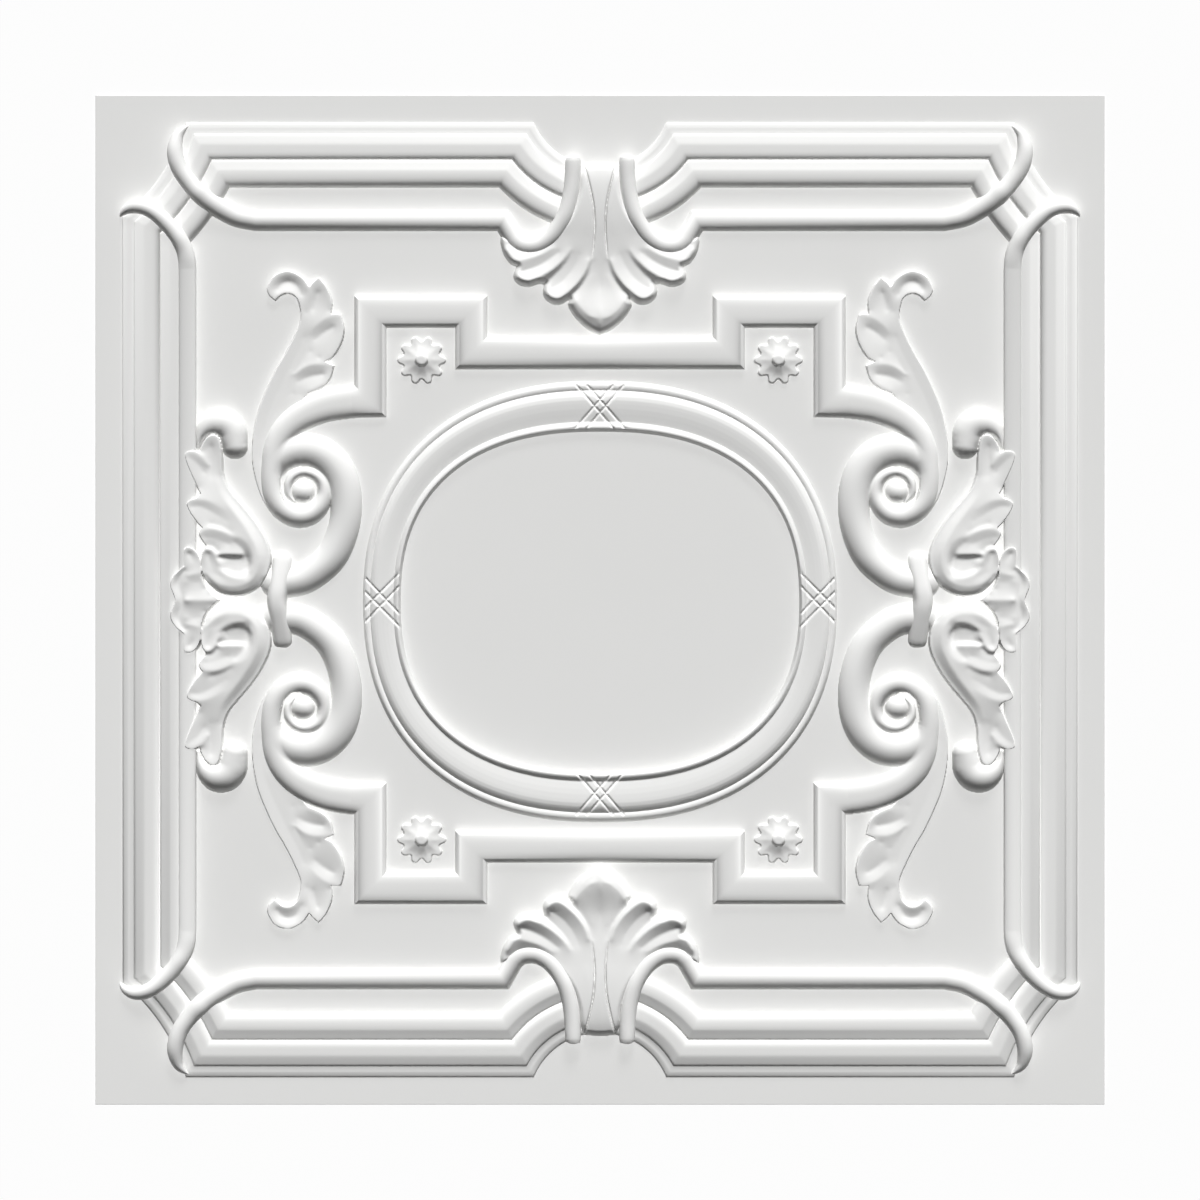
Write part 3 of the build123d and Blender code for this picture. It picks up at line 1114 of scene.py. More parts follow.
@dataclass
class Border(Relief):
    """Stepped border moulding with scooped corners and a dip over each palmette."""

    half_side: float = HALF_SIDE
    inset: float = 16.1
    dip_radius: float = 42.5
    corner_centre: tuple[float, float] = (354.7, 315.8)
    corner_radius: float = 113.0
    arc_points: int = 28
    name: ClassVar[str] = "border"

    def quarter(self, depth: float) -> np.ndarray:
        """Line at some distance inside the outer line, from the dip's middle to the side's middle.

        Args:
            depth: Distance inside the outer line.

        Returns:
            The points, as many for every depth.
        """
        line = self.half_side - self.inset - depth
        radius = self.dip_radius + depth
        turn = np.linspace(0, 1, self.arc_points) * math.acos((self.half_side - line) / radius)
        dip = np.stack([radius * np.sin(turn), self.half_side - radius * np.cos(turn)], axis=1)
        x, y = self.corner_centre
        radius = self.corner_radius + depth
        top = math.pi + math.asin((y - line) / radius)
        side = math.pi + math.acos((x - line) / radius)
        turn = np.linspace(top, side, self.arc_points)
        corner = np.stack([x + radius * np.cos(turn), y + radius * np.sin(turn)], axis=1)
        return np.vstack([dip, corner, [(line, 0.0)]])

    def ring(self, depth: float) -> np.ndarray:
        """Closed line at some distance inside the outer line.

        Args:
            depth: Distance inside the outer line.

        Returns:
            The points of the whole ring.
        """
        quarter = self.quarter(depth)
        top = np.vstack([quarter[::-1][:-1] * (-1, 1), quarter])
        return np.vstack([top, top[::-1][1:-1] * (1, -1)])

    def meshes(self) -> list[bpy.types.Mesh]:
        """Form the moulding round the whole panel.

        Returns:
            The moulding.
        """
        outer, middle, inner = (self.ring(share * BORDER_WIDTH) for share in (0.0, 0.5, 1.0))
        bend = 2 * (inner - 2 * middle + outer)
        route = Route.ring(outer, inner - outer - bend, bend)
        return [self.forming.form([route], Section.BORDER, self.finish, self.base, (False, False))]


@dataclass
class Cords(Relief):
    """Round cords under the border that hook over its corners and loop round the palmettes."""

    low: float = 6.2
    arch: float = 5.0
    stilt: float = 5.6
    side_x: float = 245.0
    side_end: float = 196.0
    side_half_width: float = 5.1
    side_arch: float = 2.4
    side_stilt: float = 6.0
    name: ClassVar[str] = "cords"

    def top_runs(self) -> list[Run]:
        """Knots of the top cord from the palmette's neck to its pointed end.

        Returns:
            Runs that meet at corners.
        """
        low, arch, stilt = self.low, self.arch, self.stilt
        loop = [
            (16.0, 263.6, 1.2, 1.5, stilt), (16.0, 262.8, 3.4, 3.6, stilt),
            (16.0, 261.0, 4.6, arch, stilt), (16.4, 249.5, 4.8, arch, stilt),
            (17.6, 239.5, 4.9, arch, stilt), (20.6, 228.5, 5.0, arch, stilt),
            (24.8, 220.8, 5.2, arch, 4.8), (29.6, 215.2, 5.4, 5.2, 3.8),
            (35.5, 211.4, 5.6, 5.4, 2.8), (41.5, 210.3, 5.8, 5.7, 2.0), (47.0, 211.4, 5.8, 6.0, 1.2),
            (51.3, 214.6, 5.9, low, 0.6),
        ]
        rise = [(57.6, 225.4, 6.2, low, 0.0)]
        straight = [(204.5, 225.4, 6.2, low, 0.0)]
        hook = [
            (216.0, 227.8, 6.2, low, 0.4), (225.5, 232.4, 6.1, 6.0, 2.0), (233.0, 237.0, 5.9, 5.8, 4.0),
            (238.2, 241.6, 5.6, 5.4, stilt), (243.6, 247.4, 5.2, arch, stilt),
            (248.8, 254.6, 5.0, arch, stilt), (251.6, 261.5, 4.9, arch, stilt),
            (252.4, 268.5, 4.5, 4.8, 5.0), (250.8, 275.6, 3.3, 4.0, 3.6), (247.6, 279.6, 1.9, 3.0, 2.4),
            (244.6, 281.6, 0.3, 1.6, 1.2),
        ]
        return linked([loop, rise, straight, hook])

    def side_runs(self) -> list[Run]:
        """Knots of the side cord from the centre line to its pointed end.

        Returns:
            Runs that meet at corners.
        """
        arch, stilt = self.arch, self.stilt
        form = (self.side_half_width, self.side_arch, self.side_stilt)
        straight = [(self.side_x, y, *form) for y in (0.0, self.side_end)]
        hook = [
            (245.4, 202.0, 5.1, 3.2, 6.0), (246.8, 208.0, 5.1, 4.2, stilt),
            (249.8, 214.2, 5.0, arch, stilt), (253.8, 219.8, 4.9, arch, stilt),
            (258.6, 224.9, 4.8, arch, stilt), (263.6, 229.2, 4.6, arch, stilt),
            (268.4, 232.1, 4.4, 4.8, stilt), (273.0, 233.4, 4.2, 4.6, 5.0), (277.5, 233.3, 3.8, 4.2, 4.0),
            (281.4, 231.8, 2.8, 3.4, 3.0), (284.0, 229.6, 1.6, 2.4, 2.0), (285.2, 227.8, 0.3, 1.2, 1.2),
        ]
        return linked([straight, hook])

    def meshes(self) -> list[bpy.types.Mesh]:
        """Form the top and side cords."""
        routes = [Route.stroke(self.top_runs()), Route.stroke(self.side_runs())]
        return [self.forming.form(routes, Section.CORD, self.finish, self.base)]


@dataclass
class Strapwork(CarvedRelief):
    """Strapwork band with its volute, the C-scroll and the clasp that ties the scrolls."""

    half_width: float = 9.6
    height: float = 6.6
    low_line: float = 146.6
    high_line: float = 171.3
    step_x: float = 76.5
    outer_x: float = 136.5
    neck: tuple[float, float] = (147.5, 117.8)
    neck_line: float = 118.0
    eye: tuple[float, float] = (176.6, 64.2)
    eye_radius: float = 7.0
    eye_height: float = 7.4
    scrolls_low: tuple[float, float] = (132.0, 0.0)
    scrolls_high: tuple[float, float] = (206.0, 130.0)
    step: float = 0.55
    name: ClassVar[str] = "strapwork"

    def strap(self) -> list[Run]:
        """Knots of the stepped strap from the centre line to the volute's neck.

        Returns:
            Runs that meet at corners.
        """
        corners = [
            (0.0, self.low_line), (self.step_x, self.low_line), (self.step_x, self.high_line),
            (self.outer_x, self.high_line), (self.outer_x, self.neck_line), self.neck,
        ]
        knots = [(x, y, self.half_width, self.height) for x, y in corners]
        return linked([knots[:2]] + [[knot] for knot in knots[2:]])

    def volute(self) -> Run:
        """Knots of the volute from the strap to its inner end, with the fullness of its arch."""
        w, h = self.half_width, self.height
        return [
            (143.0, 118.0, w - 0.2, h - 0.4, 2.9), (148.0, 117.7, w, h, 2.9),
            (161.5, 115.6, 9.5, h + 0.2, 2.7), (172.0, 112.0, 9.2, h + 0.4, 2.5),
            (181.5, 106.7, 8.6, 7.2, 2.3), (188.8, 99.6, 7.8, 7.4, 2.2), (193.3, 90.7, 7.1, 7.5, 2.1),
            (195.0, 81.2, 6.8, 7.6, 2.0), (195.3, 71.0, 6.8, 7.8, 2.0), (193.3, 61.5, 7.1, 8.0, 2.0),
            (188.2, 54.1, 7.1, 8.2, 2.0), (180.5, 50.0, 7.0, 8.2, 2.0), (172.7, 50.8, 6.5, 7.8, 2.0),
            (166.8, 55.6, 5.6, 7.2, 2.0), (163.8, 62.7, 4.4, 6.4, 2.0), (165.0, 69.9, 3.9, 6.0, 2.0),
            (169.8, 74.6, 3.6, 5.8, 2.0), (176.3, 76.1, 3.3, 5.6, 2.0), (182.0, 73.7, 3.0, 5.4, 2.0),
            (185.2, 68.7, 2.7, 5.2, 2.0), (185.0, 62.7, 2.2, 4.6, 2.0), (181.7, 58.6, 1.2, 3.6, 2.0),
        ]

    def c_scroll(self) -> Run:
        """Knots of the C-scroll from the clasp to where it runs into the volute."""
        return [
            (192.5, 10.0, 9.2, 7.6), (178.0, 12.0, 9.2, 7.6), (167.5, 18.0, 9.2, 7.8),
            (159.5, 26.0, 9.2, 8.0), (154.3, 36.6, 9.2, 8.0), (151.3, 48.5, 9.2, 8.0),
            (151.0, 60.4, 9.4, 8.0), (153.4, 71.7, 9.8, 8.0), (158.5, 80.6, 10.2, 8.0),
            (165.6, 86.5, 10.3, 8.0), (174.0, 89.0, 10.2, 7.9), (182.5, 88.0, 9.6, 7.7),
            (189.2, 84.0, 8.4, 7.0), (193.2, 79.0, 6.8, 6.0),
        ]

    def clasp(self) -> Run:
        """Knots of the bowed ring between the two C-scrolls.

        Returns:
            The knots from end to end.
        """
        upper = [
            (188.3, 28.4, 1.6, 2.4), (188.3, 27.9, 3.4, 3.8), (188.4, 26.8, 4.8, 5.0),
            (188.6, 24.6, 5.6, 6.0), (189.1, 20.0, 5.8, 7.2), (190.0, 14.0, 5.9, 8.6),
            (191.3, 6.0, 6.0, 10.2),
        ]
        lower = [(x, -y, w, h) for x, y, w, h in upper[::-1]]
        return upper + [(191.9, 0.0, 6.0, 10.6)] + lower

    def carving(self) -> Carving:
        """Carve the volute and the C-scroll, which run into each other, and the volute's eye.

        Returns:
            Their height map.
        """
        made = Carving(self.scrolls_low, self.scrolls_high, self.step)
        made.stroke(self.c_scroll(), fullness=1.9)
        made.stroke(self.volute(), blend=2.4)
        return made.dome(self.eye, self.eye_radius, self.eye_height, fullness=2.0, blend=0.8)

    def meshes(self) -> list[bpy.types.Mesh]:
        """Form the straps and clasps and carve the scrolls."""
        strap, clasp = Route.stroke(self.strap()), Route.stroke([self.clasp()])
        return [
            self.forming.form([strap], Section.STRAP, self.finish, self.base),
            self.forming.form([clasp], Section.STRAP, self.finish, self.base, (True, False)),
            self.carved(),
        ]


@dataclass
class OvalFrame(Relief):
    """Oval frame round the plain field, with crossed ribbons cut into its four sides."""

    half_x: float = 140.9
    half_y: float = 131.2
    open_half_x: float = 118.4
    open_half_y: float = 101.0
    fullness: float = 2.3
    open_fullness: float = 2.4
    centre_y: float = -1.0
    ribbon_reach: float = 19.0
    fine_step: float = 0.42
    coarse_count: int = 60
    cut_half: float = 1.05
    cut_depth: float = 1.1
    name: ClassVar[str] = "oval_frame"

    def oval(self, half_x: float, half_y: float, fullness: float, turn: np.ndarray) -> np.ndarray:
        """Points of a full oval.

        Args:
            half_x: Half of its width.
            half_y: Half of its height.
            fullness: Exponent; 2 is an ellipse and more is squarer.
            turn: Angles of the points.

        Returns:
            The points.
        """
        c, s = np.cos(turn), np.sin(turn)
        radius = (np.abs(c / half_x) ** fullness + np.abs(s / half_y) ** fullness) ** (-1 / fullness)
        return np.stack([radius * c, radius * s + self.centre_y], axis=1)

    def turns(self) -> np.ndarray:
        """Angles of the frame's points, close together under the ribbons.

        Returns:
            The angles all the way round.
        """
        right = math.pi / 2
        side, top = self.ribbon_reach / self.half_x, right - self.ribbon_reach / self.half_y
        fine_count = math.ceil(self.ribbon_reach / self.fine_step)
        quarter = np.concatenate([
            np.linspace(0, side, fine_count, endpoint=False),
            np.linspace(side, top, self.coarse_count, endpoint=False),
            np.linspace(top, right, fine_count, endpoint=False),
        ])
        half = np.unique(np.concatenate([quarter, math.pi - quarter[::-1][:-1], [right]]))
        return np.unique(np.round(np.concatenate([half, half + math.pi]) % (2 * math.pi), 9))

    def cuts(self) -> list[list[Knot]]:
        """Ends of the lines that are cut along the edges of the ribbons.

        Returns:
            Lines for one side and for the top, with their mirror images.
        """
        lines = [
            ((139.5, 13.1), (119.3, -8.1)), ((139.8, 5.1), (118.8, -16.2)),
            ((13.9, 127.4), (-7.9, 102.0)), ((7.5, 127.4), (-14.6, 102.0)),
        ]
        signs = [(1, 1), (-1, 1), (1, -1), (-1, -1)]
        return [[(across * x, up * y) for x, y in line] for across, up in signs for line in lines]

    def cut(self, mesh: bpy.types.Mesh) -> bpy.types.Mesh:
        """Cut the ribbons' edges into the frame.

        Args:
            mesh: The frame in metres.

        Returns:
            The same mesh.
        """
        place = np.empty(3 * len(mesh.vertices), np.float32)
        mesh.vertices.foreach_get("co", place)
        place = place.reshape(-1, 3)
        x, y = place[:, 0] / MM, place[:, 1] / MM
        depth = np.zeros(len(place))
        for start, end in self.cuts():
            gap, _ = from_line(x, y, start, end)
            depth = np.maximum(depth, self.cut_depth * np.maximum(1 - gap / self.cut_half, 0))
        face = place[:, 2] > (self.base + 2 * self.cut_depth) * MM
        place[face, 2] -= depth[face] * MM
        mesh.vertices.foreach_set("co", place.ravel())
        return mesh

    def meshes(self) -> list[bpy.types.Mesh]:
        """Form the frame and cut its ribbons.

        Returns:
            The frame.
        """
        turn = self.turns()
        outer = self.oval(self.half_x, self.half_y, self.fullness, turn)
        inner = self.oval(self.open_half_x, self.open_half_y, self.open_fullness, turn)
        route = Route.ring(outer, inner - outer, np.zeros_like(outer))
        return [self.cut(self.forming.form([route], Section.OVAL, self.finish, self.base, (False, False)))]


@dataclass
class Rosettes(CarvedRelief):
    """Four small scalloped rosettes with a button in the middle."""

    place: tuple[float, float] = (106.0, 142.5)
    tip_radius: float = 14.2
    notch_radius: float = 11.3
    tooth_half_deg: float = 6.0
    points: int = 10
    edge_height: float = 2.6
    height: float = 5.4
    wall: float = 0.9
    button_radius: float = 3.9
    button_height: float = 7.6
    button_fullness: float = 5.0
    margin: float = 1.0
    step: float = 0.4
    name: ClassVar[str] = "rosettes"

    def outline(self) -> Run:
        """Knots round the teeth and the hollows between them.

        Returns:
            The knots all the way round.
        """
        x, y = self.place
        tooth = [
            (-self.tooth_half_deg, self.tip_radius),
            (self.tooth_half_deg, self.tip_radius),
            (180.0 / self.points, self.notch_radius),
        ]
        knots = []
        for index in range(self.points):
            for turn_deg, radius in tooth:
                turn = math.radians(360.0 * index / self.points + turn_deg)
                knots.append((x + radius * math.cos(turn), y + radius * math.sin(turn)))
        return knots

    def carving(self) -> Carving:
        """Carve one rosette: a toothed cone with a flat button.

        Returns:
            Its height map.
        """
        x, y = self.place
        reach = self.tip_radius + self.margin
        made = Carving((x - reach, y - reach), (x + reach, y + reach), self.step)
        made.cone(self.outline(), self.place, self.edge_height, self.height, self.wall, blend=0.6)
        button = (self.button_radius, self.button_height, self.button_fullness)
        return made.dome(self.place, *button, blend=0.3)


@dataclass
class Palmettes(CarvedRelief):
    """Palmettes that hang from the border's dips, with a spear and three lobes on each side."""

    low: tuple[float, float] = (-62.0, 154.0)
    high: tuple[float, float] = (62.0, 262.0)
    wall: float = 4.0
    step: float = 0.45
    name: ClassVar[str] = "palmettes"
    mirror: ClassVar[tuple[bool, bool]] = (False, True)

    def outline(self) -> list[Run]:
        """Runs round the palmette, from the middle of its neck and back to it."""
        half = linked([
            [(0.0, 259.2), (4.3, 258.9), (9.5, 258.4)],
            [
                (12.1, 252.2), (13.7, 241.8), (17.3, 231.4), (23.8, 222.3), (35.5, 216.5), (48.5, 215.2),
                (58.8, 216.1),
            ],
            [(59.0, 211.9), (57.3, 205.7), (53.7, 200.3), (49.5, 197.9)],
            [(51.2, 193.8), (50.7, 189.9), (47.2, 187.0), (42.0, 186.1), (36.8, 187.7), (33.2, 187.7)],
            [(33.9, 182.7), (32.2, 178.5), (27.7, 175.7), (23.2, 175.7), (18.2, 178.5)],
            [(19.0, 175.6), (17.3, 171.5), (12.8, 165.6), (6.3, 160.3), (0.0, 157.4)],
        ])
        return half + [[(-x, y) for x, y in run[::-1]] for run in half[::-1]]

    def folds(self) -> dict[str, Run]:
        """Ridges and hollows of one half, by name."""
        return {
            "neck_spine": [
                (0.0, 257.9, 7.2), (0.0, 253.5, 8.6), (0.0, 248.3, 9.4), (0.0, 241.1, 9.8),
                (0.0, 232.7, 9.8), (0.0, 223.6, 9.4), (0.0, 214.5, 8.6),
            ],
            "neck_flank": [
                (4.9, 257.9, 7.2), (5.3, 253.5, 8.6), (5.6, 248.3, 9.4), (6.2, 241.1, 9.7),
                (6.9, 232.7, 9.7), (7.7, 223.6, 9.3), (8.2, 214.8, 8.5),
            ],
            "neck_edge": [
                (9.5, 257.6, 7.0), (10.8, 253.5, 8.4), (12.0, 248.3, 9.2), (13.4, 241.1, 9.5),
                (15.8, 232.7, 9.4), (18.4, 223.6, 8.9), (21.2, 215.8, 8.0),
            ],
            "first_hollow": [
                (29.0, 212.6, 6.8), (38.1, 208.0, 5.8), (47.2, 208.0, 5.2), (54.3, 211.9, 5.0),
            ],
            "first_crest": [
                (55.6, 208.0, 7.8), (52.8, 203.0, 8.2), (48.9, 201.2, 8.4), (43.3, 202.4, 8.0),
                (35.5, 204.9, 7.8), (27.7, 209.1, 7.8),
            ],
            "second_hollow": [
                (46.9, 194.8, 7.0), (40.0, 196.9, 6.8), (32.9, 200.5, 6.8), (24.5, 206.5, 7.2),
            ],
            "second_crest": [
                (48.9, 192.6, 9.6), (46.0, 190.6, 9.9), (41.7, 189.8, 10.0), (36.0, 191.6, 9.8),
                (28.2, 196.2, 9.2), (21.5, 202.6, 8.6), (18.0, 207.8, 8.2),
            ],
            "third_foot": [
                (32.4, 188.2, 6.4), (26.2, 193.6, 6.6), (19.9, 200.6, 7.0), (16.4, 206.3, 7.6),
            ],
            "third_hollow": [
                (28.7, 184.9, 7.2), (21.9, 189.9, 6.9), (16.0, 197.1, 7.0), (12.1, 205.4, 7.6),
            ],
            "third_crest": [
                (31.4, 182.4, 10.0), (28.9, 180.0, 10.3), (24.7, 179.2, 10.4), (19.6, 182.2, 10.1),
                (14.0, 187.2, 9.6), (9.1, 194.4, 9.0), (6.6, 201.6, 8.6),
            ],
            "spear_foot": [(17.0, 180.6, 6.6), (11.9, 186.0, 6.6), (7.2, 193.4, 6.9), (4.4, 201.4, 7.4)],
            "spear_spine": [
                (0.0, 205.4, 7.8), (0.0, 196.4, 7.1), (0.0, 189.0, 6.8), (0.0, 184.0, 7.2),
                (0.0, 176.5, 9.0), (0.0, 170.5, 10.6), (0.0, 167.0, 10.9), (0.0, 163.6, 10.3),
                (0.0, 161.2, 9.0),
            ],
            "spear_rim": [(15.2, 178.2, 8.6), (11.0, 172.8, 9.4), (5.8, 168.4, 10.4), (0.0, 166.8, 10.9)],
            "spear_turn": [(17.0, 174.8, 7.4), (12.4, 168.8, 8.0), (6.4, 163.6, 8.6), (0.0, 161.0, 8.9)],
            "spear_shoulder": [
                (4.1, 192.5, 7.2), (7.6, 184.7, 7.5), (9.2, 178.5, 8.5), (7.0, 172.0, 9.9),
            ],
        }

    def neck_crease(self) -> Run:
        """Knots of the crease between the neck's middle and its side."""
        return [
            (9.5, 258.6, 0.8, 1.8), (6.4, 247.0, 0.9, 2.5), (3.9, 234.0, 0.9, 2.6), (3.2, 221.0, 0.9, 2.2),
            (3.8, 210.6, 0.8, 1.4), (4.6, 203.0, 0.7, 0.2),
        ]

    def carving(self) -> Carving:
        """Carve one palmette."""
        made = Carving(self.low, self.high, self.step, (True, False))
        return made.drape(self.outline(), self.folds(), self.wall, blend=0.6).crease(self.neck_crease())


@dataclass
class Plumes(CarvedRelief):
    """Leafy plumes that rise from the volutes."""

    low: tuple[float, float] = (150.0, 40.0)
    high: tuple[float, float] = (211.0, 199.0)
    wall: float = 0.4
    step: float = 0.5
    name: ClassVar[str] = "plumes"

    def outline(self) -> list[Run]:
        """Runs round the plume: its three leaflets, the curl at its tip and the stem."""
        return linked([
            [(163.2, 141.7), (158.7, 144.3), (153.9, 151.8), (151.8, 160.7), (153.7, 169.6)],
            [(156.7, 170.0), (159.6, 169.8)],
            [(159.1, 177.4), (162.1, 185.6), (167.0, 191.8)],
            [(170.8, 188.6), (172.7, 186.2)],
            [
                (177.3, 192.0), (185.4, 195.5), (193.5, 192.6), (197.6, 185.6), (196.7, 181.0),
                (193.0, 177.7),
            ],
            [
                (189.2, 181.1), (184.9, 182.0), (180.5, 179.5), (178.6, 174.2), (177.8, 169.3),
                (178.4, 165.0), (181.6, 157.4), (187.0, 146.6), (193.0, 136.4), (198.4, 125.0),
                (202.7, 114.2), (205.4, 103.4), (206.7, 92.6), (206.7, 81.8), (204.3, 69.9),
                (199.7, 58.0), (192.0, 49.0),
            ],
            [(184.0, 46.1), (188.0, 60.0), (192.0, 84.0), (186.0, 104.0), (177.0, 118.0), (173.5, 122.6)],
            [(165.4, 126.1), (160.2, 131.5), (157.9, 139.3)],
            [(160.8, 140.6), (163.2, 141.7)],
        ])

    def folds(self) -> dict[str, Run]:
        """Ridges and hollows of the stem, the curl and the leaflets, by name."""
        return {
            "stem_rim": [
                (178.4, 163.4, 3.5), (182.0, 156.1, 3.5), (187.3, 145.5, 3.6), (193.1, 135.2, 3.7),
                (197.9, 124.4, 3.8), (202.0, 113.5, 3.9), (204.6, 103.2, 3.9), (205.7, 92.6, 3.9),
                (205.6, 82.3, 3.9), (203.3, 70.4, 3.8), (198.9, 58.8, 3.6),
            ],
            "stem_hollow": [
                (175.6, 156.4, 3.0), (179.4, 147.2, 3.0), (185.7, 135.3, 3.1), (191.6, 123.4, 3.2),
                (196.3, 112.6, 3.3), (199.6, 102.8, 3.4), (201.1, 92.6, 3.4), (200.9, 82.3, 3.4),
            ],
            "stem_inner": [
                (174.6, 149.9, 3.1), (178.9, 139.1, 3.1), (185.3, 126.1, 3.2), (192.4, 110.4, 3.3),
            ],
            "curl_rim": [
                (173.8, 184.3, 4.2), (178.1, 191.2, 4.5), (185.4, 194.0, 4.7), (192.2, 191.4, 4.7),
                (196.1, 185.3, 4.6), (195.0, 180.7, 4.5),
            ],
            "curl_hollow": [
                (177.1, 181.0, 3.2), (180.5, 186.9, 2.9), (185.4, 189.0, 2.7), (189.6, 187.3, 2.9),
                (192.0, 183.8, 3.4),
            ],
            "curl_crest": [
                (192.9, 179.1, 4.5), (189.2, 182.2, 4.4), (184.9, 183.2, 4.4), (180.7, 180.6, 4.2),
                (178.4, 174.7, 3.8), (177.3, 168.3, 3.6),
            ],
            "top_left_rim": [(172.3, 184.5, 4.2), (173.2, 178.0, 3.8), (174.7, 170.4, 3.2)],
            "top_right_rim": [
                (167.0, 190.2, 4.5), (163.0, 184.8, 4.3), (160.4, 177.4, 4.1), (160.8, 171.3, 3.7),
            ],
            "top_hollow": [(167.6, 182.9, 3.0), (169.3, 177.4, 2.7), (170.6, 172.0, 2.8)],
            "upper_rim": [
                (172.7, 157.2, 3.1), (169.7, 161.8, 3.8), (164.7, 166.1, 4.2), (159.4, 168.4, 4.4),
                (154.8, 168.4, 4.5),
            ],
            "upper_hollow": [
                (169.3, 154.4, 2.7), (166.3, 157.2, 2.6), (162.4, 160.0, 2.7), (158.3, 162.2, 3.2),
            ],
            "upper_crest": [
                (153.3, 164.5, 4.5), (153.0, 159.6, 4.7), (155.1, 152.6, 4.8), (159.3, 145.8, 4.6),
                (163.2, 143.2, 4.2),
            ],
            "upper_base": [(171.9, 147.7, 2.9), (167.0, 143.9, 3.3)],
            "lower_rim": [
                (183.6, 132.4, 3.2), (177.1, 137.3, 4.0), (170.8, 139.8, 4.3), (164.3, 139.8, 4.5),
                (159.3, 138.5, 4.6),
            ],
            "lower_hollow": [
                (179.4, 129.5, 2.8), (174.9, 131.8, 2.6), (169.9, 133.3, 2.7), (164.7, 134.0, 3.2),
            ],
            "lower_crest": [
                (159.7, 134.5, 4.6), (161.4, 131.1, 4.7), (165.8, 127.5, 4.6), (173.0, 124.4, 4.0),
            ],
            "lower_base": [(182.5, 122.6, 2.9), (177.3, 121.8, 3.1)],
        }

    def carving(self) -> Carving:
        """Carve one plume."""
        made = Carving(self.low, self.high, self.step)
        return made.drape(self.outline(), self.folds(), self.wall, blend=0.6)


